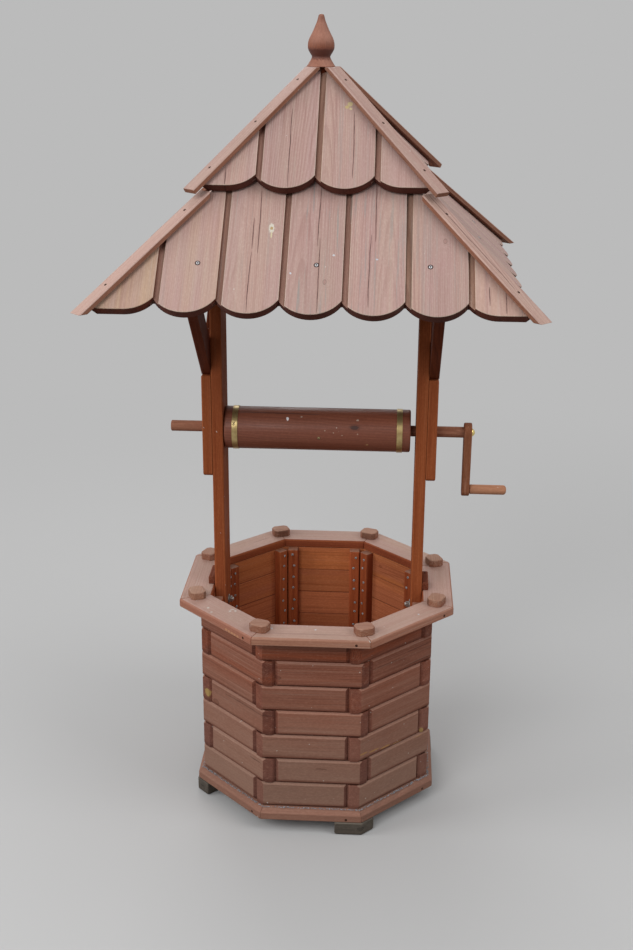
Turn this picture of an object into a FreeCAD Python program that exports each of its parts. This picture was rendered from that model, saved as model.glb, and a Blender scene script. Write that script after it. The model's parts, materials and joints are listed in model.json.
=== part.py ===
import FreeCAD, Part
import os
import re
import Sketcher

# Wishing well planter: an octagonal well of pinwheel jointed boards, two posts
# with a windlass between them, and a square roof in two scalloped tiers.
# The crank side is +X, the front is -Y, the ground is z = 0.

doc = FreeCAD.newDocument("WishingWell")
sheet = doc.addObject("Spreadsheet::Sheet", "Sizes")
sizes = {
    # Clearances.
    "seat_gap": 0.3,
    "bearing_gap": 0.1,

    # Feet.
    "foot_high": 30,
    "foot_face": 264,
    "foot_depth": 61,
    "foot_start": 51,
    "foot_wrap": 36,
    "foot_bevel": 3,

    # Base ring and floor.
    "ring_thick": 25.7,
    "ring_face": 262,
    "ring_wide": 66,
    "ring_bevel_wide": 13,
    "ring_bevel_high": 9.5,
    "slat_thick": 20,
    "slat_wide": 68,
    "slat_slot": 8,
    "floor_play": 2,

    # Well wall.
    "wall_face": 249,
    "wall_thick": 23,
    "course_high": 57.4,
    "edge_bevel": 4.5,
    "corner_run": 14.6,
    "batten_wide": 24,
    "batten_thick": 20,
    "batten_offset": 61,
    "batten_bevel": 2,

    # Rim with its blocks.
    "rim_thick": 17.8,
    "rim_face": 292,
    "rim_bevel": 3,
    "block_place": 277,
    "block_long": 33,
    "block_wide": 39,
    "block_high": 16.5,
    "block_corner": 7,
    "block_edge": 3,

    # Posts, cleats and bearing cheeks.
    "post_thick": 23.5,
    "post_wide": 90,
    "post_edge": 3,
    "cleat_thick": 14,
    "cleat_long": 65,
    "cleat_high": 17.7,
    "cleat_place": -7.5,
    "cleat_edge": 2,
    "cheek_thick": 20,
    "cheek_drop": 97,
    "cheek_high": 220,
    "cheek_corner": 8,
    "cheek_edge": 2,

    # Bolts through wall and post.
    "bolt_radius": 4,
    "bolt_head": 10,
    "bolt_dome": 4.5,
    "bolt_rise": 22.5,
    "washer_radius": 11,
    "washer_thick": 2,
    "nut_wide": 13,
    "nut_thick": 6.5,
    "bolt_over": 12,

    # Braces.
    "brace_thick": 20.7,
    "brace_wide": 52,
    "brace_lean": 47,
    "brace_start": 12,
    "brace_edge": 2,

    # Lower roof: the eave is where the scallops end on the upper face.
    "low_eave": 396,
    "low_level": 1165,
    "low_slope": 42.5,
    "low_top": 120,
    "low_pitch": 112,
    "low_offset": 0,
    "low_arc": 66,

    # Upper roof.
    "high_eave": 218,
    "high_rise": 195.5,
    "high_slope": 44.5,
    "high_top": 12,
    "high_pitch": 110,
    "high_offset": -3,
    "high_arc": 65,

    # Roof boards.
    "roof_thick": 18,
    "lip_wide": 11,
    "lip_deep": 6.5,
    "tongue_long": 5.5,
    "tongue_thick": 4,
    "tongue_place": 10,
    "tongue_play": 0.4,
    "end_short": 4.5,

    # Rails, rafters and crown.
    "rail_thick": 23,
    "rail_high": 57.7,
    "eave_rail_face": 312,
    "mid_rail_face": 201.6,
    "rafter_wide": 23,
    "rafter_high": 22,
    "rafter_short": 40,
    "rafter_back": 6.3,
    "crown_wide": 60,
    "crown_rise": 235,
    "crown_corner": 17,
    "packer_inner": 132,
    "packer_outer": 172,

    # Hip battens.
    "hip_wide": 32,
    "hip_thick": 10,
    "hip_edge": 2,
    "low_hip_end": 414,
    "low_hip_start": 206,
    "high_hip_end": 234,
    "hip_start": 22,
    "hip_cut_drop": 11,

    # Finial.
    "finial_offset": -4,
    "finial_high": 96,
    "finial_base": 27.3,
    "finial_lip": 26.2,
    "finial_lip_high": 2.3,
    "finial_cove": 31,
    "waist_radius": 17.7,
    "waist_high": 18.5,
    "bulb_arc": 37,
    "neck_radius": 15.2,
    "neck_high": 67,
    "tip_radius": 4.5,
    "tip_high": 93,
    "peg_radius": 7,
    "peg_long": 110,

    # Windlass.
    "axle_level": 828,
    "axle_radius": 11.5,
    "axle_left": 318,
    "axle_right": 320.2,
    "axle_bevel": 1.5,
    "drum_radius": 45,
    "drum_left": 201,
    "drum_right": 191,
    "drum_round": 4,
    "band_wide": 12,
    "band_thick": 1.2,
    "band_left": 178,
    "band_right": 168,
    "arm_start": 303.8,
    "arm_thick": 16.5,
    "arm_radius": 20.5,
    "arm_end_radius": 14.4,
    "crank_throw": 127.5,
    "arm_edge": 1.5,
    "handle_radius": 10.25,
    "handle_end": 399,
    "handle_round": 7,
    "handle_peg": 6,
    "screw_radius": 8.5,
    "screw_dome": 6.5,
    "screw_shank": 3,
    "screw_long": 30,
}
for row, (name, value) in enumerate(sizes.items(), 1):
    sheet.set("A%d" % row, name)
    sheet.set("B%d" % row, str(value))
    sheet.setAlias("B%d" % row, name)
doc.recompute()


def term(text):
    return re.sub(r"\b[a-z]+(?:_[a-z]+)+\b", lambda word: "Sizes." + word.group(0), text)


def number(text):
    result = sheet.evalExpression(term(text))
    return float(getattr(result, "Value", result))


def newBody(label):
    body = doc.addObject("PartDesign::Body", label)
    body.AllowCompound = True
    return body


def originItem(body, role):
    return [item for item in body.Origin.OriginFeatures if item.Role == role][0]


def newSketch(body, name, role, level="0", rise="0"):
    sketch = body.newObject("Sketcher::SketchObject", name)
    sketch.AttachmentSupport = [(originItem(body, role), "")]
    sketch.MapMode = "FlatFace"
    sketch.setExpression("AttachmentOffset.Base.z", term(level))
    sketch.setExpression("AttachmentOffset.Base.y", term(rise))
    return sketch


def bindDistance(sketch, kind, item, point, text):
    amount = number(text)
    if abs(amount) < 1e-9:
        axis = -2 if kind == "DistanceX" else -1
        sketch.addConstraint(Sketcher.Constraint("PointOnObject", item, point, axis))
        return
    index = sketch.addConstraint(Sketcher.Constraint(kind, -1, 1, item, point, amount))
    sketch.setExpression("Constraints[%d]" % index, term(text))


def arcBetween(start, end, radius, turn):
    middle = (start + end) * 0.5
    chord = end - start
    normal = FreeCAD.Vector(-chord.y, chord.x, 0).normalize()
    rise = max(radius * radius - chord.Length * chord.Length / 4, 0) ** 0.5
    centre = middle + normal * rise * turn
    first, last = (start, end) if turn > 0 else (end, start)
    circle = Part.Circle(centre, FreeCAD.Vector(0, 0, 1), radius)
    return Part.ArcOfCircle(circle, circle.parameter(first), circle.parameter(last))


# Draws one closed outline. Each corner is a pair of sizes, an arc is given by the
# index of its first corner with a radius and the way it turns.
def drawOutline(sketch, corners, arcs=None):
    arcs = arcs or {}
    points = [FreeCAD.Vector(number(x), number(y), 0) for x, y in corners]
    first = sketch.GeometryCount
    count = len(corners)
    ends = []
    for index, start in enumerate(points):
        end = points[(index + 1) % count]
        if index in arcs:
            radius, turn = arcs[index]
            sketch.addGeometry(arcBetween(start, end, number(radius), turn), False)
            ends.append((1, 2) if turn > 0 else (2, 1))
        else:
            sketch.addGeometry(Part.LineSegment(start, end), False)
            ends.append((1, 2))
    for index in range(count):
        after = (index + 1) % count
        joint = Sketcher.Constraint(
            "Coincident", first + index, ends[index][1], first + after, ends[after][0])
        sketch.addConstraint(joint)
    for index, (x, y) in enumerate(corners):
        bindDistance(sketch, "DistanceX", first + index, ends[index][0], x)
        bindDistance(sketch, "DistanceY", first + index, ends[index][0], y)
    for index, (radius, turn) in arcs.items():
        place = sketch.addConstraint(
            Sketcher.Constraint("Radius", first + index, number(radius)))
        sketch.setExpression("Constraints[%d]" % place, term(radius))
    return sketch


def drawCircle(sketch, x, y, radius):
    item = sketch.GeometryCount
    centre = FreeCAD.Vector(number(x), number(y), 0)
    sketch.addGeometry(Part.Circle(centre, FreeCAD.Vector(0, 0, 1), number(radius)), False)
    bindDistance(sketch, "DistanceX", item, 3, x)
    bindDistance(sketch, "DistanceY", item, 3, y)
    place = sketch.addConstraint(Sketcher.Constraint("Radius", item, number(radius)))
    sketch.setExpression("Constraints[%d]" % place, term(radius))
    return sketch


# Radius of a dome whose centre lies on its own axis.
def domeArc(radius, height):
    return "((%s) * (%s) + (%s) * (%s)) / (2 * (%s))" % (radius, radius, height, height, height)


def box(left, low, right, high):
    return [(left, low), (right, low), (right, high), (left, high)]


def pad(body, name, sketch, length, backwards=False):
    feature = body.newObject("PartDesign::Pad", name)
    feature.Profile = sketch
    feature.setExpression("Length", term(length))
    feature.Reversed = backwards
    doc.recompute()
    return feature


def pocket(body, name, sketch, length, forwards=True):
    before = body.Tip.Shape.Volume
    feature = body.newObject("PartDesign::Pocket", name)
    feature.Profile = sketch
    feature.setExpression("Length", term(length))
    feature.Reversed = forwards
    doc.recompute()
    if not feature.Shape.Volume < before - 1:
        raise ValueError("nothing was cut by " + name)
    return feature


def revolve(body, name, sketch, axis):
    feature = body.newObject("PartDesign::Revolution", name)
    feature.Profile = sketch
    feature.ReferenceAxis = (sketch, [axis])
    feature.Angle = 360
    doc.recompute()
    return feature


def edgesOf(feature, test):
    return ["Edge%d" % (index + 1) for index, edge in enumerate(feature.Shape.Edges)
            if test(edge)]


def dress(body, kind, name, feature, test, amount, second=None):
    result = body.newObject("PartDesign::" + kind, name)
    result.Base = (feature, edgesOf(feature, test))
    if kind == "Fillet":
        result.setExpression("Radius", term(amount))
    elif second is None:
        result.setExpression("Size", term(amount))
    else:
        result.ChamferType = "Two distances"
        result.setExpression("Size", term(amount))
        result.setExpression("Size2", term(second))
    doc.recompute()
    return result


def turnCopies(body, name, features, count):
    pattern = body.newObject("PartDesign::PolarPattern", name)
    pattern.Originals = features
    pattern.Axis = (originItem(body, "Z_Axis"), [""])
    pattern.Angle = 360
    pattern.Occurrences = count
    pattern.Refine = False
    body.Tip = pattern
    doc.recompute()
    return pattern


def rowCopies(body, name, features, role, count, length):
    pattern = body.newObject("PartDesign::LinearPattern", name)
    pattern.Originals = features
    pattern.Direction = (originItem(body, role), [""])
    pattern.Occurrences = count
    pattern.setExpression("Length", term(length))
    pattern.Refine = False
    body.Tip = pattern
    doc.recompute()
    return pattern


nodes = []


def keep(item):
    nodes.append(item)
    return item


def mirrored(label, source):
    item = doc.addObject("Part::Mirroring", label)
    item.Source = source
    item.Normal = (1, 0, 0)
    return keep(item)


def turnedCopy(label, source, degrees):
    item = doc.addObject("Part::Compound", label)
    item.Links = [source]
    turn = FreeCAD.Rotation(FreeCAD.Vector(0, 0, 1), degrees)
    item.Placement = FreeCAD.Placement(FreeCAD.Vector(0, 0, 0), turn)
    return item


def turned(label, source, degrees):
    return keep(turnedCopy(label, source, degrees))


def lies(edge, axis):
    start = edge.Vertexes[0].Point
    end = edge.Vertexes[-1].Point
    along = end - start
    return along.Length > 1 and abs(abs(getattr(along, axis)) - along.Length) < 1e-4


def near(amount, text):
    return abs(amount - number(text)) < 0.02


halfTurn = "tan(22.5 * 1deg)"

# Feet: each block wraps round a corner of the ring.
feet = keep(newBody("feet"))
footSketch = newSketch(feet, "foot_outline", "XY_Plane")
footCorner = "foot_face * " + halfTurn
drawOutline(footSketch, [
    ("foot_start", "-foot_face"),
    (footCorner, "-foot_face"),
    (footCorner + " + foot_wrap * sqrt(0.5)", "foot_wrap * sqrt(0.5) - foot_face"),
    (footCorner + " + foot_wrap * sqrt(0.5) - (foot_depth - foot_wrap * sqrt(0.5))",
     "foot_depth - foot_face"),
    ("foot_start", "foot_depth - foot_face")])
footPad = pad(feet, "foot_block", footSketch, "foot_high")
footEdge = dress(feet, "Chamfer", "foot_bevel", footPad,
                 lambda edge: near(edge.CenterOfMass.z, "0"), "foot_bevel")
turnCopies(feet, "foot_row", [footPad, footEdge], 4)

# Base ring of eight mitred boards with a wide bevel on the outer edge.
ring = keep(newBody("base_ring_boards"))
ringInner = "(ring_face - ring_wide)"
ringSketch = newSketch(ring, "ring_outline", "XY_Plane")
drawOutline(ringSketch, [
    ("seat_gap / 2 - ring_face * " + halfTurn, "-ring_face"),
    ("ring_face * " + halfTurn + " - seat_gap / 2", "-ring_face"),
    (ringInner + " * " + halfTurn + " - seat_gap / 2", "-" + ringInner),
    ("seat_gap / 2 - " + ringInner + " * " + halfTurn, "-" + ringInner)])
ringPad = pad(ring, "ring_board", ringSketch, "ring_thick")
ringTop = [edge for edge in ringPad.Shape.Edges
           if near(edge.CenterOfMass.z, "ring_thick") and near(edge.CenterOfMass.y, "-ring_face")]
ringEdge = dress(ring, "Chamfer", "ring_bevel", ringPad,
                 lambda edge: any(edge.isSame(top) for top in ringTop),
                 "ring_bevel_high", "ring_bevel_wide")
turnCopies(ring, "ring_row", [ringPad, ringEdge], 8)
ring.setExpression("Placement.Base.z", term("foot_high + seat_gap"))
ringLevel = "(foot_high + seat_gap + ring_thick)"

# Floor slats, clipped to the inside of the wall.
slats = newBody("slat_row")
slatSketch = newSketch(slats, "slat_outline", "XY_Plane")
drawOutline(slatSketch, box("-2.5 * slat_slot - 3 * slat_wide", "-wall_face",
                            "-2.5 * slat_slot - 2 * slat_wide", "wall_face"))
slatPad = pad(slats, "slat_board", slatSketch, "slat_thick")
rowCopies(slats, "slat_copies", [slatPad], "X_Axis", 6, "5 * (slat_wide + slat_slot)")
slats.setExpression("Placement.Base.z", term(ringLevel + " + seat_gap"))
clip = newBody("floor_clip")
clipSketch = newSketch(clip, "clip_outline", "XY_Plane")
clipFace = "(wall_face - wall_thick - floor_play)"
clipHalf = clipFace + " * " + halfTurn
drawOutline(clipSketch, [
    ("-" + clipHalf, "-" + clipFace), (clipHalf, "-" + clipFace),
    (clipFace, "-" + clipHalf), (clipFace, clipHalf),
    (clipHalf, clipFace), ("-" + clipHalf, clipFace),
    ("-" + clipFace, clipHalf), ("-" + clipFace, "-" + clipHalf)])
pad(clip, "clip_block", clipSketch, "3 * (foot_high + ring_thick)")
floor = keep(doc.addObject("Part::Common", "floor_slats"))
floor.Base = slats
floor.Tool = clip
doc.recompute()
floorLevel = "(" + ringLevel + " + slat_thick + seat_gap)"

# Wall courses: one end of each board runs past the corner with a bevel and a
# square tip, the other end lies against the inner face of its neighbour.
wallInner = "(wall_face - wall_thick)"
courseStep = "(course_high + seat_gap)"


def wallCourse(index, side):
    body = keep(newBody("wall_course_%d" % (index + 1)))
    sketch = newSketch(body, "course_outline", "XY_Plane")
    corner = "wall_face * " + halfTurn
    sign = "-" if side > 0 else ""
    other = "" if side > 0 else "-"
    corners = [
        (sign + "(" + corner + ")", "-wall_face"),
        (sign + "(" + corner + " + corner_run)", "corner_run - wall_face"),
        (sign + "(" + corner + " + corner_run)", "-" + wallInner),
        (other + "(" + wallInner + " * " + halfTurn + " - seat_gap * sqrt(2))",
         "-" + wallInner),
        (other + "(" + wallInner + " * sqrt(2) - wall_face - seat_gap * sqrt(2))",
         "-wall_face")]
    drawOutline(sketch, corners)
    board = pad(body, "course_board", sketch, "course_high")
    bevel = dress(body, "Chamfer", "course_bevel", board,
                  lambda edge: lies(edge, "x") and near(edge.CenterOfMass.y, "-wall_face"),
                  "edge_bevel")
    turnCopies(body, "course_row", [board, bevel], 8)
    level = ringLevel + " + seat_gap + %d * %s" % (index, courseStep)
    body.setExpression("Placement.Base.z", term(level))
    return body, level


def boltHole(body):
    sketch = newSketch(body, "bolt_hole", "YZ_Plane", "-wall_face - wall_thick")
    drawCircle(sketch, "0", "bolt_rise", "bolt_radius + seat_gap")
    body.Tip = pocket(body, "bolt_cut", sketch, "2 * (wall_face + wall_thick)")


# The bolts of the posts go through the fifth and the seventh course.
boltLevels = {}
for index in range(7):
    course, courseLevel = wallCourse(index, 1 if index % 2 == 0 else -1)
    if index in (4, 6):
        boltLevels[{4: "lower", 6: "upper"}[index]] = "(" + courseLevel + " + bolt_rise)"
        boltHole(course)
wallTop = "(" + ringLevel + " + 7 * " + courseStep + ")"

# Corner battens inside the wall, a pair to each wall face.
battens = keep(newBody("corner_battens"))
battenSketch = newSketch(battens, "batten_outline", "XY_Plane")
battenFace = "(wall_face - wall_thick - seat_gap)"
battenEnd = "(batten_offset + batten_wide)"
drawOutline(battenSketch, box("batten_offset", "-" + battenFace,
                              battenEnd, "batten_thick - " + battenFace))
drawOutline(battenSketch, box("-" + battenEnd, "-" + battenFace,
                              "-batten_offset", "batten_thick - " + battenFace))
battenPad = pad(battens, "batten_pair", battenSketch,
                wallTop + " - " + floorLevel + " - 2 * seat_gap")
battenEdge = dress(battens, "Chamfer", "batten_bevel", battenPad,
                   lambda edge: lies(edge, "z")
                   and near(edge.CenterOfMass.y, "batten_thick - " + battenFace),
                   "batten_bevel")
turnCopies(battens, "batten_row", [battenPad, battenEdge], 8)
battens.setExpression("Placement.Base.z", term(floorLevel))

# Rim of eight mitred boards.
rim = keep(newBody("rim_boards"))
rimSketch = newSketch(rim, "rim_outline", "XY_Plane")
drawOutline(rimSketch, [
    ("seat_gap / 2 - rim_face * " + halfTurn, "-rim_face"),
    ("rim_face * " + halfTurn + " - seat_gap / 2", "-rim_face"),
    (wallInner + " * " + halfTurn + " - seat_gap / 2", "-" + wallInner),
    ("seat_gap / 2 - " + wallInner + " * " + halfTurn, "-" + wallInner)])
rimPad = pad(rim, "rim_board", rimSketch, "rim_thick")
rimEdge = dress(rim, "Chamfer", "rim_bevel", rimPad,
                lambda edge: lies(edge, "x") and near(edge.CenterOfMass.z, "rim_thick"),
                "rim_bevel")
turnCopies(rim, "rim_row", [rimPad, rimEdge], 8)
rim.setExpression("Placement.Base.z", term(wallTop + " + seat_gap"))
rimTop = "(" + wallTop + " + seat_gap + rim_thick)"

# Blocks over the mitres of the rim.
blocks = keep(newBody("rim_blocks"))
blockSketch = newSketch(blocks, "block_outline", "XY_Plane")
drawOutline(blockSketch, box("block_place - block_long / 2", "-block_wide / 2",
                             "block_place + block_long / 2", "block_wide / 2"))
blockPad = pad(blocks, "block_body", blockSketch, "block_high")
blockCorner = dress(blocks, "Chamfer", "block_corner", blockPad,
                    lambda edge: lies(edge, "z"), "block_corner")
blockTop = dress(blocks, "Fillet", "block_edge", blockCorner,
                 lambda edge: near(edge.BoundBox.ZMin, "block_high"), "block_edge")
turnCopies(blocks, "block_row", [blockPad, blockCorner, blockTop], 8)
blocks.setExpression("Placement.Base.z", term(rimTop + " + seat_gap"))
blocks.setExpression("Placement.Rotation.Angle", "22.5 * 1deg")

# The underside of the lower roof at a distance from the middle.
lowTan = "tan(low_slope * 1deg)"
highTan = "tan(high_slope * 1deg)"
highLevel = "(low_level + high_rise)"
hipCut = "(" + highLevel + " + high_eave * " + highTan + " - hip_cut_drop)"
lowApex = "(low_level + low_eave * " + lowTan + " - roof_thick / cos(low_slope * 1deg))"
highApex = "(" + highLevel + " + high_eave * " + highTan + " - roof_thick / cos(high_slope * 1deg))"


def underLow(distance):
    return "(" + lowApex + " - seat_gap - (" + distance + ") * " + lowTan + ")"


# Posts, cut to the slope of the roof at the top.
postFace = "(wall_face - wall_thick - seat_gap)"
postInner = "(" + postFace + " - post_thick)"
post = keep(newBody("post_right"))
postSketch = newSketch(post, "post_outline", "XZ_Plane", "-post_wide / 2")
drawOutline(postSketch, [
    (postInner, floorLevel), (postFace, floorLevel),
    (postFace, underLow(postFace)), (postInner, underLow(postInner))])
postPad = pad(post, "post_board", postSketch, "post_wide")
postEdge = dress(post, "Fillet", "post_edge", postPad, lambda edge: lies(edge, "z"),
                 "post_edge")
postHoles = newSketch(post, "post_holes", "YZ_Plane", postInner + " - post_thick")
drawCircle(postHoles, "0", "axle_level", "axle_radius + bearing_gap")
for boltLevel in boltLevels.values():
    drawCircle(postHoles, "0", boltLevel, "bolt_radius + seat_gap")
pocket(post, "post_bores", postHoles, "3 * post_thick")
mirrored("post_left", post)

# Cleats on the rim against the posts.
cleat = keep(newBody("post_cleat_right"))
cleatSketch = newSketch(cleat, "cleat_outline", "XY_Plane")
drawOutline(cleatSketch, box(postFace + " + seat_gap", "cleat_place - cleat_long / 2",
                             postFace + " + seat_gap + cleat_thick",
                             "cleat_place + cleat_long / 2"))
cleatPad = pad(cleat, "cleat_board", cleatSketch, "cleat_high")
dress(cleat, "Chamfer", "cleat_edge", cleatPad,
      lambda edge: near(edge.BoundBox.ZMin, "cleat_high"), "cleat_edge")
cleat.setExpression("Placement.Base.z", term(rimTop + " + seat_gap"))
mirrored("post_cleat_left", cleat)

# Bearing cheeks on the outer faces of the posts.
cheekStart = "(" + postFace + " + seat_gap)"
cheekLow = "(axle_level - cheek_drop)"
cheekTop = "(" + cheekLow + " + cheek_high)"
cheek = keep(newBody("bearing_cheek_right"))
cheekSketch = newSketch(cheek, "cheek_outline", "YZ_Plane", cheekStart)
drawOutline(cheekSketch, box("-post_wide / 2", cheekLow, "post_wide / 2", cheekTop))
drawCircle(cheekSketch, "0", "axle_level", "axle_radius + bearing_gap")
cheekPad = pad(cheek, "cheek_board", cheekSketch, "cheek_thick")
cheekCorner = dress(cheek, "Fillet", "cheek_corner", cheekPad,
                    lambda edge: lies(edge, "x")
                    and near(edge.CenterOfMass.z, cheekLow), "cheek_corner")
dress(cheek, "Chamfer", "cheek_edge", cheekCorner,
      lambda edge: near(edge.BoundBox.XMin, cheekStart + " + cheek_thick")
      and edge.BoundBox.DiagonalLength > 4 * number("axle_radius"), "cheek_edge")
mirrored("bearing_cheek_left", cheek)

# Coach bolts through wall and post, an upper and a lower one to each post.
bolts = keep(newBody("post_bolts"))
boltEnd = "(" + postInner + " - bolt_over)"
boltHeads = []
for name in ("upper", "lower"):
    level = boltLevels[name]
    boltSketch = newSketch(bolts, "bolt_profile_" + name, "XZ_Plane", "0", level)
    drawOutline(boltSketch, [
        (boltEnd, "0"),
        ("wall_face + seat_gap + bolt_dome", "0"),
        ("wall_face + seat_gap", "bolt_head"),
        ("wall_face + seat_gap", "bolt_radius"),
        (boltEnd, "bolt_radius")],
        {1: (domeArc("bolt_head", "bolt_dome"), 1)})
    boltHeads.append(revolve(bolts, "bolt_" + name, boltSketch, "H_Axis"))
turnCopies(bolts, "bolt_sides", boltHeads, 2)
nuts = keep(newBody("post_bolt_nuts"))
nutHalf = "nut_wide / 2"
nutPoint = "nut_wide / sqrt(3)"
washerFace = "(" + postInner + " - seat_gap)"
nutParts = []
for name in ("upper", "lower"):
    level = boltLevels[name]
    washer = newSketch(nuts, "washer_outline_" + name, "YZ_Plane",
                       washerFace + " - washer_thick", level)
    drawCircle(washer, "0", "0", "washer_radius")
    drawCircle(washer, "0", "0", "bolt_radius + seat_gap")
    nutParts.append(pad(nuts, "washer_" + name, washer, "washer_thick"))
    nut = newSketch(nuts, "nut_outline_" + name, "YZ_Plane",
                    washerFace + " - washer_thick - seat_gap - nut_thick", level)
    drawOutline(nut, [
        (nutHalf, "-0.5 * " + nutPoint), (nutHalf, "0.5 * " + nutPoint), ("0", nutPoint),
        ("-" + nutHalf, "0.5 * " + nutPoint), ("-" + nutHalf, "-0.5 * " + nutPoint),
        ("0", "-" + nutPoint)])
    drawCircle(nut, "0", "0", "bolt_radius + seat_gap")
    nutParts.append(pad(nuts, "nut_" + name, nut, "nut_thick"))
turnCopies(nuts, "nut_sides", nutParts, 2)

# Braces: each stands on the bearing cheek, leans out to the eave rail and is cut
# to the roof at the top. The pair meets in a plumb joint over the axle.
railInner = "(eave_rail_face - rail_thick)"
leanTan = "tan(brace_lean * 1deg)"
braceFoot = "(" + cheekTop + " + seat_gap)"
braceRise = "(brace_wide / sin(brace_lean * 1deg))"
braceLow = "(" + cheekTop + " + brace_start - post_wide / 2 / " + leanTan + ")"
braceHigh = "(" + braceLow + " + " + braceRise + ")"
braceMeet = "((" + underLow("0") + " - " + braceHigh + ") / (1 / " + leanTan + " + " + lowTan + "))"
braceOut = "(" + railInner + " - seat_gap)"


def braceBody(label, sign):
    body = keep(newBody(label))
    sketch = newSketch(body, "brace_outline", "YZ_Plane", cheekStart)
    corners = [
        ("seat_gap / 2", braceFoot),
        ("(" + braceFoot + " - " + braceLow + ") * " + leanTan, braceFoot),
        (braceOut, braceLow + " + " + braceOut + " / " + leanTan),
        (braceOut, underLow(braceOut)),
        (braceMeet, underLow(braceMeet)),
        ("seat_gap / 2", braceHigh + " + seat_gap / 2 / " + leanTan)]
    drawOutline(sketch, [(sign + "(" + y + ")", z) for y, z in corners])
    board = pad(body, "brace_board", sketch, "brace_thick")
    outer = cheekStart + " + brace_thick"
    dress(body, "Chamfer", "brace_edge", board,
          lambda edge: near(edge.BoundBox.XMin, outer) and edge.Length > number("2 * cheek_thick + brace_wide"), "brace_edge")
    return body


mirrored("brace_left_front", braceBody("brace_right_front", "-"))
mirrored("brace_left_rear", braceBody("brace_right_rear", ""))


# Rails: four boards on edge, bevelled under the roof, with ends cut back for the rafters.
def railFrame(label, face):
    body = keep(newBody(label))
    inner = "(" + face + " - rail_thick)"
    low = "(" + underLow(face) + " - rail_high)"
    back = "(rafter_wide / 2 + seat_gap) * sqrt(2)"
    sketch = newSketch(body, "rail_outline", "XY_Plane", low)
    drawOutline(sketch, [
        (back + " - " + face, "-" + face), (face + " - " + back, "-" + face),
        (inner + " - " + back, "-" + inner), (back + " - " + inner, "-" + inner)])
    board = pad(body, "rail_board", sketch, underLow(inner) + " - " + low)
    slope = newSketch(body, "rail_slope", "YZ_Plane", "-" + face)
    drawOutline(slope, [
        ("-" + face + " - rail_thick", underLow(face + " + rail_thick")),
        ("-" + inner, underLow(inner)),
        ("-" + inner, underLow(inner) + " + rail_thick"),
        ("-" + face + " - rail_thick", underLow(inner) + " + rail_thick")])
    bevel = pocket(body, "rail_bevel", slope, "2 * " + face)
    turnCopies(body, "rail_row", [board, bevel], 4)
    return body


railFrame("eave_rails", "eave_rail_face")
railFrame("mid_rails", "mid_rail_face")

# Crown block with cut corners and a bore for the peg of the finial.
crown = keep(newBody("crown_block"))
crownSketch = newSketch(crown, "crown_outline", "XY_Plane", "(low_level + crown_rise)")
drawOutline(crownSketch, box("-crown_wide / 2", "-crown_wide / 2",
                             "crown_wide / 2", "crown_wide / 2"))
crownTop = "(" + highApex + " - seat_gap - crown_wide / 2 * " + highTan + ")"
crownPad = pad(crown, "crown_body", crownSketch, crownTop + " - (low_level + crown_rise)")
dress(crown, "Chamfer", "crown_corners", crownPad, lambda edge: lies(edge, "z"),
      "crown_corner")
pegHole = newSketch(crown, "peg_hole", "XY_Plane", "(low_level + crown_rise) - crown_wide / 4")
drawCircle(pegHole, "finial_offset", "0", "peg_radius + seat_gap")
pocket(crown, "peg_bore", pegHole, "2 * " + crownTop + " - 2 * (low_level + crown_rise)")

# Hip rafters, backed on top with a bevel to each side of the hip.
rafters = keep(newBody("hip_rafters"))
lowHip = "(" + lowTan + " / sqrt(2))"
rafterStart = "((crown_wide - crown_corner) / sqrt(2) + seat_gap)"
rafterEnd = "((low_eave - rafter_short) * sqrt(2))"
rafterTop = "(" + lowApex + " - 2 * seat_gap)"
rafterSketch = newSketch(rafters, "rafter_outline", "XZ_Plane", "-rafter_wide / 2")
drawOutline(rafterSketch, [
    (rafterStart, rafterTop + " - rafter_high - " + rafterStart + " * " + lowHip),
    (rafterEnd, rafterTop + " - rafter_high - " + rafterEnd + " * " + lowHip),
    (rafterEnd, rafterTop + " - " + rafterEnd + " * " + lowHip),
    (rafterStart, rafterTop + " - " + rafterStart + " * " + lowHip)])
rafterPad = pad(rafters, "rafter_board", rafterSketch, "rafter_wide")
rafterTopFace = [face for face in rafterPad.Shape.Faces if face.normalAt(0, 0).z > 0.5][0]
rafterBack = dress(rafters, "Chamfer", "rafter_backing", rafterPad,
                   lambda edge: edge.Length > number("3 * low_top")
                   and any(edge.isSame(side) for side in rafterTopFace.Edges),
                   "(rafter_wide - seat_gap) / 2", "rafter_back")
turnCopies(rafters, "rafter_row", [rafterPad, rafterBack], 4)
rafters.setExpression("Placement.Rotation.Angle", "45 * 1deg")


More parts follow.
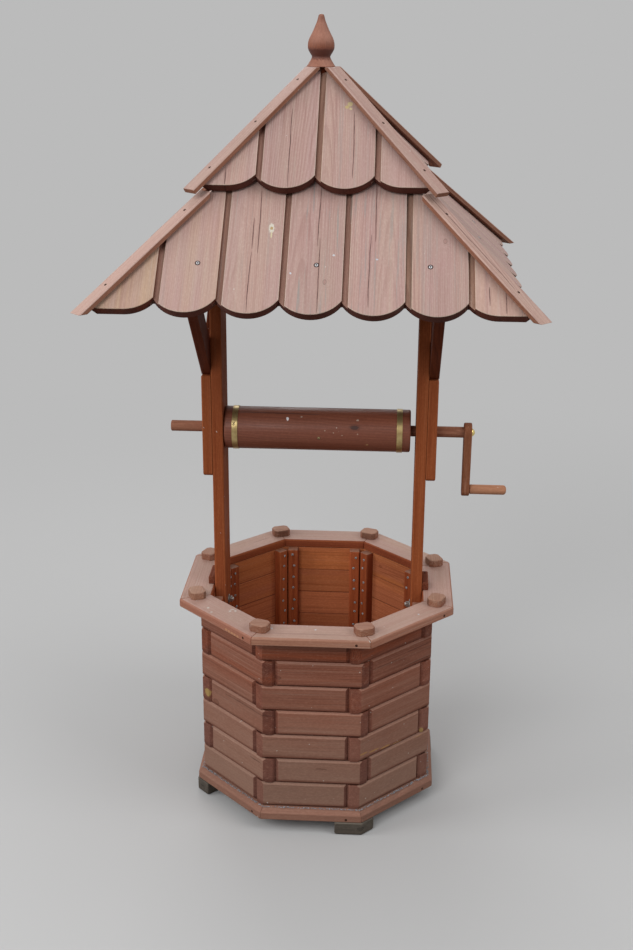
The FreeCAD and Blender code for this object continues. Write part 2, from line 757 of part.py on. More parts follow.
# Roof boards lie in their own flat frame: x along the eave, y up the slope, z out of
# the upper face. Tongue, groove and lip are cut first, then the scalloped end.
def roofBoards(tier, count):
    eave = tier + "_eave"
    slope = tier + "_slope"
    pitch = tier + "_pitch"
    top = tier + "_top"
    arc = tier + "_arc"
    offset = tier + "_offset"
    level = "low_level" if tier == "low" else highLevel
    long = "((" + eave + " - " + top + ") / cos(" + slope + " * 1deg) + roof_thick)"
    notch = "(" + arc + " - sqrt(" + arc + " * " + arc + " - " + pitch + " * " + pitch + " / 4))"
    start = "(" + offset + " - " + pitch + " * %s)" % (count / 2)
    finish = "(" + offset + " + " + pitch + " * %s)" % (count / 2)
    half = "(seat_gap / 2)"
    place = ("placement(vector(0; -Sizes.%s; %s); "
             "rotation(vector(1; 0; 0); Sizes.%s))" % (eave, term(level), slope))

    def boardBlank(name, left, right):
        body = newBody(tier + "_" + name)
        sketch = newSketch(body, "board_section", "XZ_Plane")
        tongueTop = "-tongue_place"
        tongueLow = "(-tongue_place - tongue_thick)"
        corners = [
            (left + " + " + half, "-roof_thick"),
            (left + " + " + half, tongueLow),
            (left + " - tongue_long", tongueLow),
            (left + " - tongue_long", tongueTop),
            (left + " + " + half, tongueTop),
            (left + " + " + half, "-lip_deep"),
            (left + " + lip_wide", "-lip_deep"),
            (left + " + lip_wide", "0"),
            (right + " - " + half, "0"),
            (right + " - " + half, tongueTop + " + tongue_play"),
            (right + " - tongue_long - tongue_play", tongueTop + " + tongue_play"),
            (right + " - tongue_long - tongue_play", tongueLow + " - tongue_play"),
            (right + " - " + half, tongueLow + " - tongue_play"),
            (right + " - " + half, "-roof_thick")]
        drawOutline(sketch, corners)
        board = pad(body, "board_blank", sketch, long, True)
        return body, board

    full, board = boardBlank("boards", start, "(" + start + " + " + pitch + ")")
    rowLength = "%d * %s" % (count - 1, pitch)
    rowCopies(full, "board_row", [board], "X_Axis", count, rowLength)
    scallop = newSketch(full, "scallop_outline", "XY_Plane", "-2 * roof_thick")
    low = "-roof_thick"
    drawOutline(scallop, [
        (start, low), (start + " + " + pitch, low),
        (start + " + " + pitch, notch), (start, notch)],
        {2: (arc, -1)})
    cut = pocket(full, "scallop", scallop, "3 * roof_thick")
    rowCopies(full, "scallop_row", [cut], "X_Axis", count, rowLength)
    tongue = newSketch(full, "first_tongue_outline", "XY_Plane", "-2 * roof_thick")
    drawOutline(tongue, [
        (start + " - 2 * tongue_long", low), (start, low),
        (start, notch), (start + " - 2 * tongue_long", notch)])
    pocket(full, "first_tongue_cut", tongue, "3 * roof_thick")
    full.setExpression("Placement", place)

    reach = "(" + eave + " + roof_thick)"
    rise = "(" + notch + " - end_short)"
    flat = "sqrt(2 * " + rise + " * " + arc + " - " + rise + " * " + rise + ")"
    ends = []
    for name, seam, sign, left, right in (
            ("end_left", start, "-", "(-" + reach + ")", start),
            ("end_right", finish, "+", finish, reach)):
        body, blank = boardBlank(name, left, right)
        inner = "-" if sign == "+" else "+"
        edge = newSketch(body, "end_outline", "XY_Plane", "-2 * roof_thick")
        drawOutline(edge, [
            (seam + inner + "2 * tongue_long", low),
            (seam + sign + reach, low),
            (seam + sign + reach, "end_short"),
            (seam + sign + flat, "end_short"),
            (seam, notch),
            (seam + inner + "2 * tongue_long", notch)],
            {3: (arc, -1 if sign == "+" else 1)})
        pocket(body, "end_cut", edge, "3 * roof_thick")
        body.setExpression("Placement", place)
        ends.append(body)

    rows = doc.addObject("Part::Compound", tier + "_roof_rows")
    rows.Links = [ends[0], full, ends[1]]
    wedge = newBody(tier + "_roof_mitre")
    plan = newSketch(wedge, "mitre_outline", "XY_Plane", "low_level / 2")
    far = "(" + eave + " + roof_thick)"
    drawOutline(plan, [
        ("seat_gap - " + far, "-" + far), (far + " - seat_gap", "-" + far),
        (top + " - seat_gap", "-" + top), ("seat_gap - " + top, "-" + top)])
    pad(wedge, "mitre_block", plan, "2 * low_level")
    front = keep(doc.addObject("Part::Common", {"low": "lower", "high": "upper"}[tier]
                               + "_roof_front"))
    front.Base = rows
    front.Tool = wedge
    doc.recompute()
    return front


lowerFront = roofBoards("low", 5)
upperFront = roofBoards("high", 2)
for front, tier in ((lowerFront, "lower"), (upperFront, "upper")):
    turned(tier + "_roof_right", front, 90)
    turned(tier + "_roof_back", front, 180)
    turned(tier + "_roof_left", front, -90)

# Wedge strips that carry the upper roof on the lower one.
packer = newBody("packer")
packerPlan = newSketch(packer, "packer_outline", "XY_Plane", "low_level")
drawOutline(packerPlan, [
    ("seat_gap - packer_outer", "-packer_outer"), ("packer_outer - seat_gap", "-packer_outer"),
    ("packer_inner - seat_gap", "-packer_inner"), ("seat_gap - packer_inner", "-packer_inner")])
pad(packer, "packer_block", packerPlan, "low_level")
lowFace = "(low_level + low_eave * " + lowTan + " + seat_gap - (%s) * " + lowTan + ")"
highFace = "(" + highApex + " - seat_gap - (%s) * " + highTan + ")"
below = newSketch(packer, "packer_below", "YZ_Plane", "-packer_outer")
farther = "(packer_outer + roof_thick)"
nearer = "(packer_inner - roof_thick)"
drawOutline(below, [
    ("-" + farther, "low_level - roof_thick"), ("-" + nearer, "low_level - roof_thick"),
    ("-" + nearer, lowFace % nearer), ("-" + farther, lowFace % farther)])
pocket(packer, "packer_foot", below, "2 * packer_outer")
above = newSketch(packer, "packer_above", "YZ_Plane", "-packer_outer")
drawOutline(above, [
    ("-" + farther, highFace % farther), ("-" + nearer, highFace % nearer),
    ("-" + nearer, "3 * low_level"), ("-" + farther, "3 * low_level")])
pocket(packer, "packer_head", above, "2 * packer_outer")
packers = keep(doc.addObject("Part::Compound", "upper_roof_packers"))
packers.Links = [turnedCopy("packer_" + side, packer, degrees) for side, degrees in (
    ("front", 0), ("right", 90), ("back", 180), ("left", -90))]


# Hip battens: flat boards laid over the hips. The lower ones are cut level at the
# eave, the upper ones square at the eave and level under the finial.
def hipBattens(label, tier, end, start, cutTop):
    fall = "(tan(" + tier + "_slope * 1deg) / sqrt(2))"
    angle = "atan(" + fall + ")"
    level = "low_level" if tier == "low" else highLevel
    apex = "(" + level + " + seat_gap + " + tier + "_eave * tan(" + tier + "_slope * 1deg))"
    far = "(" + end + " * sqrt(2))"
    body = keep(newBody(label + "_front_right"))
    sketch = newSketch(body, "hip_outline", "XZ_Plane", "-hip_wide / 2")
    raised = "(" + apex + " + hip_thick / cos(" + angle + "))"
    tip = "(" + raised + " - " + far + " * " + fall + ")"
    corners = [(start, apex + " - " + start + " * " + fall)]
    if cutTop:
        squareEnd = "(" + far + " - hip_thick * sin(" + angle + "))"
        corners.append((squareEnd, apex + " - " + squareEnd + " * " + fall))
    else:
        corners.append(("(" + apex + " - " + tip + ") / " + fall, tip))
    corners.append((far, tip))
    if cutTop:
        corners.append(("(" + raised + " - " + hipCut + ") / " + fall, hipCut))
        corners.append((start, hipCut))
    else:
        corners.append((start, raised + " - " + start + " * " + fall))
    drawOutline(sketch, corners)
    board = pad(body, "hip_board", sketch, "hip_wide")
    topFace = max(board.Shape.Faces, key=lambda face: face.Area * (face.normalAt(0, 0).z > 0.5))
    dress(body, "Chamfer", "hip_edges", board,
          lambda edge: edge.Length > number("3 * hip_wide")
          and any(edge.isSame(side) for side in topFace.Edges), "hip_edge")
    body.setExpression("Placement.Rotation.Angle", "-45 * 1deg")
    turned(label + "_back_right", body, 90)
    turned(label + "_back_left", body, 180)
    turned(label + "_front_left", body, -90)
    return body


hipBattens("lower_hip_batten", "low", "low_hip_end", "(low_hip_start * sqrt(2))", False)
hipBattens("upper_hip_batten", "high", "high_hip_end", "hip_start", True)

# Finial, turned in one piece with its peg.
finial = keep(newBody("finial"))
finialSketch = newSketch(finial, "finial_profile", "XZ_Plane")
drawOutline(finialSketch, [
    ("0", "-peg_long"), ("peg_radius", "-peg_long"), ("peg_radius", "0"),
    ("finial_base", "0"), ("finial_lip", "finial_lip_high"),
    ("waist_radius", "waist_high"), ("neck_radius", "neck_high"),
    ("tip_radius", "tip_high"), ("0", "finial_high")],
    {4: ("finial_cove", -1), 5: ("bulb_arc", 1),
     7: (domeArc("tip_radius", "finial_high - tip_high"), 1)})
revolve(finial, "finial_turning", finialSketch, "V_Axis")
finial.setExpression("Placement.Base.x", term("finial_offset"))
finial.setExpression("Placement.Base.z", term(hipCut + " + seat_gap"))


# Windlass: all its turned pieces lie on the axle line.
def turnedPiece(label, corners, arcs=None, rise="axle_level"):
    body = keep(newBody(label))
    sketch = newSketch(body, "profile", "XZ_Plane", "0", rise)
    drawOutline(sketch, corners, arcs)
    feature = revolve(body, "turning", sketch, "H_Axis")
    return body, feature


turnedPiece("windlass_axle", [
    ("-axle_left", "0"), ("axle_right - screw_long", "0"),
    ("axle_right - screw_long", "screw_shank + seat_gap"),
    ("axle_right", "screw_shank + seat_gap"),
    ("axle_right", "axle_radius"), ("axle_bevel - axle_left", "axle_radius"),
    ("-axle_left", "axle_radius - axle_bevel")])
drumBore = "axle_radius + seat_gap"
drum, drumTurning = turnedPiece("windlass_drum", [
    ("-drum_left", drumBore), ("drum_right", drumBore),
    ("drum_right", "drum_radius - drum_round"), ("drum_right - drum_round", "drum_radius"),
    ("drum_round - drum_left", "drum_radius"), ("-drum_left", "drum_radius - drum_round")],
    {2: ("drum_round", 1), 4: ("drum_round", 1)})
bands = keep(newBody("brass_bands"))
for name, middle in (("left", "-band_left"), ("right", "band_right")):
    bandSketch = newSketch(bands, "band_profile_" + name, "XZ_Plane", "0", "axle_level")
    drawOutline(bandSketch, box(middle + " - band_wide / 2", "drum_radius + seat_gap / 2",
                                middle + " + band_wide / 2",
                                "drum_radius + seat_gap / 2 + band_thick"))
    revolve(bands, "band_" + name, bandSketch, "H_Axis")

# Crank arm: tapers from the axle to the handle.
arm = keep(newBody("crank_arm"))
armSketch = newSketch(arm, "arm_outline", "YZ_Plane", "arm_start", "axle_level")
armSlope = "((arm_radius - arm_end_radius) / crank_throw)"
armLean = "sqrt(1 - " + armSlope + " * " + armSlope + ")"
topSide = "(arm_radius * " + armLean + ")"
lowSide = "(arm_end_radius * " + armLean + ")"
drawOutline(armSketch, [
    (topSide, "arm_radius * " + armSlope), ("0", "arm_radius"),
    ("-" + topSide, "arm_radius * " + armSlope),
    ("-" + lowSide, "arm_end_radius * " + armSlope + " - crank_throw"),
    ("0", "-crank_throw - arm_end_radius"),
    (lowSide, "arm_end_radius * " + armSlope + " - crank_throw")],
    {0: ("arm_radius", 1), 1: ("arm_radius", 1),
     3: ("arm_end_radius", 1), 4: ("arm_end_radius", 1)})
drawCircle(armSketch, "0", "0", "axle_radius + seat_gap")
drawCircle(armSketch, "0", "-crank_throw", "handle_peg + seat_gap")
armPad = pad(arm, "arm_board", armSketch, "arm_thick")
dress(arm, "Chamfer", "arm_edges", armPad,
      lambda edge: abs(edge.BoundBox.XMax - edge.BoundBox.XMin) < 0.01
      and not any(near(getattr(edge.Curve, "Radius", 0), hole)
                  for hole in ("axle_radius + seat_gap", "handle_peg + seat_gap")),
      "arm_edge")
handleLevel = "axle_level - crank_throw"
handleStart = "(arm_start + arm_thick + seat_gap)"
turnedPiece("crank_handle", [
    ("arm_start + 1", "0"), ("handle_end", "0"),
    ("handle_end", "handle_radius - handle_round"),
    ("handle_end - handle_round", "handle_radius"),
    (handleStart + " + axle_bevel", "handle_radius"),
    (handleStart, "handle_radius - axle_bevel"),
    (handleStart, "handle_peg"), ("arm_start + 1", "handle_peg")],
    {2: ("handle_round", 1)}, handleLevel)
screwFace = "(arm_start + arm_thick + seat_gap)"
turnedPiece("crank_screw", [
    ("axle_right - screw_long + 1", "0"), (screwFace + " + screw_dome", "0"),
    (screwFace, "screw_radius"), (screwFace, "screw_shank"),
    ("axle_right - screw_long + 1", "screw_shank")],
    {1: (domeArc("screw_radius", "screw_dome"), 1)})

doc.recompute()
for item in doc.Objects:
    if "Invalid" in item.State or "Error" in item.State:
        raise ValueError("state of " + item.Name)
for item in nodes:
    if item.Shape.isNull() or not item.Shape.isValid():
        raise ValueError("shape of " + item.Label)
os.makedirs("parts", exist_ok=True)
for item in nodes:
    item.Shape.exportStep("parts/" + item.Label + ".step")
print(len(nodes), "pieces written")
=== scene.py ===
import bpy
import bmesh
import json
import math
import random
from mathutils import Matrix, Vector


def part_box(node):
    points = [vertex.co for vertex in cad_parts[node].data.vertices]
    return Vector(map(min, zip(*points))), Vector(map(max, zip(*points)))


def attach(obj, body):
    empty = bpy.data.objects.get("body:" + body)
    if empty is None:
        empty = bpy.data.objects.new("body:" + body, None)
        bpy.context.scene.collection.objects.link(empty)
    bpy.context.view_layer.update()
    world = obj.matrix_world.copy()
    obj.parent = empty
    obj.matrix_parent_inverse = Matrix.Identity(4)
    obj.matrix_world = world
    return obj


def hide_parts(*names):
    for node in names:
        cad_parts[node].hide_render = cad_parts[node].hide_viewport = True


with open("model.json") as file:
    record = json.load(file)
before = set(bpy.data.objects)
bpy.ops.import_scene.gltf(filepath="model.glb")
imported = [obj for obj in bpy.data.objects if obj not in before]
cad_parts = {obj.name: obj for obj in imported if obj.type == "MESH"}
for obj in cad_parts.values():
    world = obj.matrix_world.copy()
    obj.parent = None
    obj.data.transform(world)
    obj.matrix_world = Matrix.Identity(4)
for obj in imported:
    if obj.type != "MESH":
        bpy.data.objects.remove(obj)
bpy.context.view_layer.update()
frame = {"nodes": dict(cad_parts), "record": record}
scene = bpy.context.scene


# A colour as a picture shows it, in the linear values that a material takes.
def rgb(red, green, blue):
    def linear(value):
        value = value / 255
        return value / 12.92 if value <= 0.04045 else ((value + 0.055) / 1.055) ** 2.4
    return (linear(red), linear(green), linear(blue), 1)


def addObject(name, data):
    thing = bpy.data.objects.new(name, data)
    scene.collection.objects.link(thing)
    return thing


# Each input of a node gets a plain value or the output of another node.
def fill(node, inputs):
    for key, value in inputs.items():
        if isinstance(value, Signal):
            node.id_data.links.new(value.socket, node.inputs[key])
        else:
            node.inputs[key].default_value = value
    return node


def addNode(tree, kind, inputs=None, **settings):
    node = tree.nodes.new(kind)
    for name, value in settings.items():
        setattr(node, name, value)
    return fill(node, inputs or {})


def outputOf(tree, kind, inputs=None, output=0, **settings):
    return Signal(addNode(tree, kind, inputs, **settings), output)


# One output of a node. Arithmetic on it adds the nodes that work the result out.
class Signal:
    def __init__(self, node, output=0):
        self.tree, self.socket = node.id_data, node.outputs[output]

    def maths(self, operation, *others):
        return outputOf(self.tree, "ShaderNodeMath", dict(enumerate((self, *others))), operation=operation)

    def __add__(self, other):
        return self.maths("ADD", other)

    def __sub__(self, other):
        return self.maths("SUBTRACT", other)

    def __rsub__(self, other):
        return outputOf(self.tree, "ShaderNodeMath", {0: other, 1: self}, operation="SUBTRACT")

    def __mul__(self, other):
        return self.maths("MULTIPLY", other)

    def __truediv__(self, other):
        return self.maths("DIVIDE", other)

    def __abs__(self):
        return self.maths("ABSOLUTE")

    def atLeast(self, other):
        return self.maths("MAXIMUM", other)

    def vectorMaths(self, operation, *others, output="Vector"):
        inputs = dict(enumerate((self, *others)))
        return outputOf(self.tree, "ShaderNodeVectorMath", inputs, output, operation=operation)

    def split(self):
        node = addNode(self.tree, "ShaderNodeSeparateXYZ", {0: self})
        return [Signal(node, index) for index in range(3)]

    def noise(self, stretch, detail=2.0, roughness=0.5, distortion=0.0):
        inputs = {"Vector": self.vectorMaths("MULTIPLY", stretch), "Scale": 1.0, "Detail": detail,
                  "Roughness": roughness, "Distortion": distortion}
        return outputOf(self.tree, "ShaderNodeTexNoise", inputs, "Fac", normalize=True)

    def ramp(self, low, high, bottom=0.0, top=1.0):
        inputs = {"Value": self, "From Min": low, "From Max": high, "To Min": bottom, "To Max": top}
        return outputOf(self.tree, "ShaderNodeMapRange", inputs, "Result", interpolation_type="SMOOTHSTEP")

    def fall(self, low, high):
        return self.ramp(low, high, 1.0, 0.0)


def objectPlace(tree):
    return outputOf(tree, "ShaderNodeTexCoord", output="Object")


def mix(factor, first, second, blend="MIX"):
    tree = (factor if isinstance(factor, Signal) else first).tree
    inputs = {"Factor": factor, 6: first, 7: second}
    return outputOf(tree, "ShaderNodeMix", inputs, 2, data_type="RGBA", blend_type=blend)


# A node group, with its inputs as signals by name, and its output node.
def newGroup(name, kind, inputs, outputs):
    group = bpy.data.node_groups.new(name, kind)
    for direction, sockets in (("INPUT", inputs), ("OUTPUT", outputs)):
        for label, socket in sockets.items():
            group.interface.new_socket(label, in_out=direction, socket_type="NodeSocket" + socket)
    into, out = group.nodes.new("NodeGroupInput"), group.nodes.new("NodeGroupOutput")
    return group, {label: Signal(into, label) for label in inputs}, out


# One drying crack: a thin wandering line that tapers to both of its ends.
def buildCrackGroup():
    group, given, out = newGroup(
        "dryingCrack", "ShaderNodeTree",
        {"Crack": "Vector", **dict.fromkeys(("Along", "Across", "Wander", "Grit"), "Float")},
        {"Line": "Float", "Stain": "Float"})
    crack, along, across, wander, grit = given.values()
    place, first, last = crack.split()
    half = ((last - first) * 0.5).atLeast(0.0001)
    run = (along - (first + last) * 0.5) / half
    taper = (1.0 - run * run).atLeast(0.0)
    thinning = taper.maths("SQRT")
    gap = abs(across - (place + wander))
    width = thinning * (grit * 0.0013 + 0.0001)
    inside = taper.maths("GREATER_THAN", 0.001)
    fill(out, {"Line": gap.fall(width * 0.5, width + 0.0002) * inside,
               "Stain": gap.fall(0.0, 0.004) * thinning})
    return group


crackGroup = buildCrackGroup()
crackNames = ("crackOne", "crackTwo", "crackThree")

# The noises of the wood: how often each varies over a metre along, across and through the board,
# then its detail, roughness and distortion.
woodNoises = {
    "bend": ((1.8, 6.0, 6.0), 2.0),
    "ripple": ((5.0, 60.0, 60.0), 2.0),
    "fading": ((3.0, 26.0, 26.0), 2.0),
    "fibre": ((4.0, 290.0, 290.0), 3.0, 0.7),
    "streak": ((1.6, 130.0, 130.0), 4.0, 0.7, 0.1),
    "mottle": ((150.0, 320.0, 320.0), 2.0, 0.7),
    "bleached": ((3.6, 130.0, 130.0), 3.0, 0.6),
    "band": ((0.7, 24.0, 24.0), 2.0, 0.5),
    "blotch": ((6.0, 16.0, 16.0), 4.0, 0.6),
    "swerve": ((9.0, 3.0, 3.0), 3.0, 0.55),
    "grit": ((60.0, 5.0, 5.0), 2.0, 0.6),
    "fissure": ((2.4, 75.0, 75.0), 2.0, 0.5, 0.1),
    "dryPlaces": ((3.0, 30.0, 30.0), 1.0),
}
woodFigure = {
    "boardShift": (7.3, 3.9, 5.7),
    "ringsPerMetre": 310.0,
    "ringWidening": 0.011,
    "silverTint": rgb(152, 146, 142),
    "speckTint": rgb(206, 200, 192),
    "specksPerMetre": 15.0,
}


# Sawn and stained softwood in the board's own frame: x along the grain, y across, z through.
def buildWoodGroup():
    colours = ("Base", "Dark", "Pale", "Grey", "Gold", "Crack")
    amounts = ("Rings", "Streaks", "Fibres", "WeatherAndTopLight", "WearAndHighlight", "Reach", "Soil", "Season", "Splits", "Specks",
               "EdgeShade", "EdgeShadeWidth")
    group, given, out = newGroup(
        "boardWood", "ShaderNodeTree", {**dict.fromkeys(colours, "Color"), **dict.fromkeys(amounts, "Float")},
        {"Color": "Color", "Height": "Float", "Rough": "Float"})
    (base, dark, pale, grey, gold, crackColor, rings, streaks, fibres, weatherAndTopLight, wearAndHighlight, reach, soil, season,
     splits, specks, edgeShade, edgeShadeWidth) = given.values()

    def attribute(name, output="Vector"):
        return outputOf(group, "ShaderNodeAttribute", output=output, attribute_name=name)

    def combined(*values):
        return outputOf(group, "ShaderNodeCombineXYZ", dict(enumerate(values)))

    place, seed = attribute("grain"), attribute("boardSeed", "Fac")
    along, across, through = place.split()
    _, halfAcross, halfThrough = attribute("halfSize").split()
    lightness, golden, grain = attribute("boardTone").split()
    point = place.vectorMaths("ADD", combined(*(seed * factor for factor in woodFigure["boardShift"])))
    (bend, ripple, fading, fibre, streak, mottle, bleached, band, blotch, swerve, grit, fissure,
     dryPlaces) = (point.noise(*settings) for settings in woodNoises.values())

    # The knot bends the growth rings round itself.
    knotAlong, knotAcross, knotSize = attribute("knotOne").split()
    u = (along - knotAlong) * 0.6
    v = across - knotAcross
    away = (u * u + v * v).maths("SQRT") / knotSize.atLeast(0.0001)
    present = knotSize.maths("GREATER_THAN", 0.0005)
    core = away.fall(0.75, 1.05) * present
    bark = away.ramp(0.8, 1.0) * away.fall(1.0, 1.3) * present
    halo = away.fall(0.8, 4.5) * present

    # The rings lie round a pith that is somewhere beside and below the board.
    pithDepth = (seed * 9.7).maths("FRACT") * 0.04 + 0.02
    pithSide = ((seed * 23.3).maths("FRACT") - 0.5) * 0.2
    y = across - pithSide + (bend - 0.5) * 0.05
    z = through + pithDepth + along * 0.03
    radius = (y * y + z * z).maths("SQRT") + halo * woodFigure["ringWidening"] + ripple * 0.0022
    wave = (radius * woodFigure["ringsPerMetre"]).maths("FRACT")
    late = wave.ramp(0.3, 0.9) * wave.fall(0.92, 1.0) * fading.ramp(0.3, 0.68, 0.25, 1.0)

    line, stain, wander = 0.0, 0.0, (swerve - 0.5) * 0.007
    for name in crackNames:
        inputs = {"Crack": attribute(name), "Along": along, "Across": across, "Wander": wander, "Grit": grit}
        crack = addNode(group, "ShaderNodeGroup", inputs, node_tree=crackGroup)
        line = Signal(crack, "Line").atLeast(line)
        stain = Signal(crack, "Stain").atLeast(stain)

    # Short checks follow the fibres of a dry board.
    check = abs(fissure - 0.5).fall(0.0, 0.009) * dryPlaces.ramp(0.86 - season, 1.0 - season)
    opened = line.atLeast(check) * splits

    # Where the arrises are worn pale, partly real rubbing and partly painted highlight; the upper sides
    # silvered, and on the finial lightened as painted top light; the foot grey; and the lower edge darkened
    # as painted shade under the board.
    arris = (halfAcross - abs(across)).atLeast(halfThrough - abs(through))
    # Painted highlight, partly real rubbing: every arris turns pale, whichever way it faces.
    rubbedAndHighlit = (arris + (blotch - 0.5) * reach).fall(reach * 0.2, reach) * wearAndHighlight
    exposed = (weatherAndTopLight * 4.0).maths("MINIMUM", 1.0)
    silvered = bleached.ramp(0.56, 0.64) * attribute("boardSilver", "Fac") * exposed
    # Upward faces turn grey: weathering on the boards, and on the finial a painted top light.
    upward = outputOf(group, "ShaderNodeNewGeometry", output="Normal").split()[2].ramp(-0.1, 0.55)
    silver = blotch.ramp(0.35, 0.72) * (weatherAndTopLight * upward)
    height = objectPlace(group).split()[2]
    splash = (height + blotch * 0.16).fall(0.14, 0.5) * soil
    # Painted shade: a dark band along each board's lower edge, where the gap beneath falls into shadow.
    lowEdgeShade = (across + halfAcross).fall(edgeShadeWidth * 0.5, edgeShadeWidth * (blotch + 0.8))

    # Pale flecks of lichen and dust.
    level = through * 0.9
    flat = combined(*(way + level + seed * (3.1 + index) for index, way in enumerate((along, across))))
    dots = addNode(group, "ShaderNodeTexVoronoi", voronoi_dimensions="2D")
    fill(dots, {"Vector": flat, "Scale": woodFigure["specksPerMetre"]})
    spread, chance, _ = Signal(dots, "Color").split()
    width = spread.ramp(0.0, 1.0, 0.009, 0.024)
    dot = Signal(dots, "Distance").ramp(width * 0.6, width, 0.85, 0.0) * chance.maths("LESS_THAN", specks)

    def stained(color, *layers):
        for amount, tint in layers:
            color = mix(amount, color, tint)
        return color

    color = stained(
        base, (golden * band.ramp(0.38, 0.6), gold), (late * rings * grain, dark),
        (streak.ramp(0.52, 0.74) * streaks, dark), (streak.ramp(0.48, 0.26) * streaks, pale),
        (fibre.ramp(0.5, 0.72) * fibres, dark), (fibre.ramp(0.47, 0.28) * fibres, grey),
        (silvered, woodFigure["silverTint"]), (silver, grey), (splash, grey), (lowEdgeShade * edgeShade, dark),
        (rubbedAndHighlit, pale))
    shade = outputOf(group, "ShaderNodeCombineColor", dict.fromkeys(range(3), lightness))
    color = stained(
        mix(1.0, color, shade, "MULTIPLY"), (mottle.ramp(0.62, 0.4, 0.0, 0.16), dark),
        (mottle.ramp(0.55, 0.75, 0.0, 0.22), pale), (core * 0.45, dark), (bark * 0.5, crackColor),
        (stain * splits * 0.35, dark), (dot, woodFigure["speckTint"]), (opened * 0.9, crackColor))
    fill(out, {"Color": color, "Height": fibre * 0.5 - opened * 1.5 - late * 0.2,
               "Rough": blotch.ramp(0.3, 0.7, 0.55, 0.8)})
    return group


woodGroup = buildWoodGroup()


def newMaterial(name):
    material = bpy.data.materials.new(name)
    material.use_nodes = True
    tree = material.node_tree
    return material, tree, tree.nodes["Principled BSDF"]


def bumped(height, strength, distance):
    inputs = {"Strength": strength, "Distance": distance, "Height": height}
    return outputOf(height.tree, "ShaderNodeBump", inputs)


# Spots are marks in fixed places, and on the finial painted shade: centre, size and tint of each.
def woodMaterial(name, look):
    material, tree, shader = newMaterial(name)
    wood = addNode(tree, "ShaderNodeGroup", node_tree=woodGroup)
    fill(wood, {key: rgb(*value) if isinstance(value, tuple) else value
                for key, value in look.items() if key in wood.inputs})
    color = Signal(wood, "Color")
    for centre, size, tint in look["spots"]:
        where = objectPlace(tree)
        offset = where.vectorMaths("SUBTRACT", centre)
        offset = offset.vectorMaths("DIVIDE", size if isinstance(size, tuple) else (size, size, size))
        fray = where.noise((400.0, 400.0, 400.0), 3.0) - 0.5
        ragged = offset.vectorMaths("LENGTH", output="Value") + fray
        color = mix(ragged.ramp(0.75, 1.05, 0.9, 0.0), color, rgb(*tint))
    fill(shader, {"Base Color": color, "Roughness": Signal(wood, "Rough") * look.get("polish", 1.0),
                  "Specular IOR Level": look.get("gloss", 0.3),
                  "Normal": bumped(Signal(wood, "Height"), look.get("bump", 0.5), 0.0008)})
    return material


sapSpots = [((-0.2372, -0.1149, 0.2514), (0.01, 0.01, 0.0105), (174, 144, 88)),
            ((0.234, -0.1181, 0.1772), (0.006, 0.006, 0.007), (172, 140, 88))]
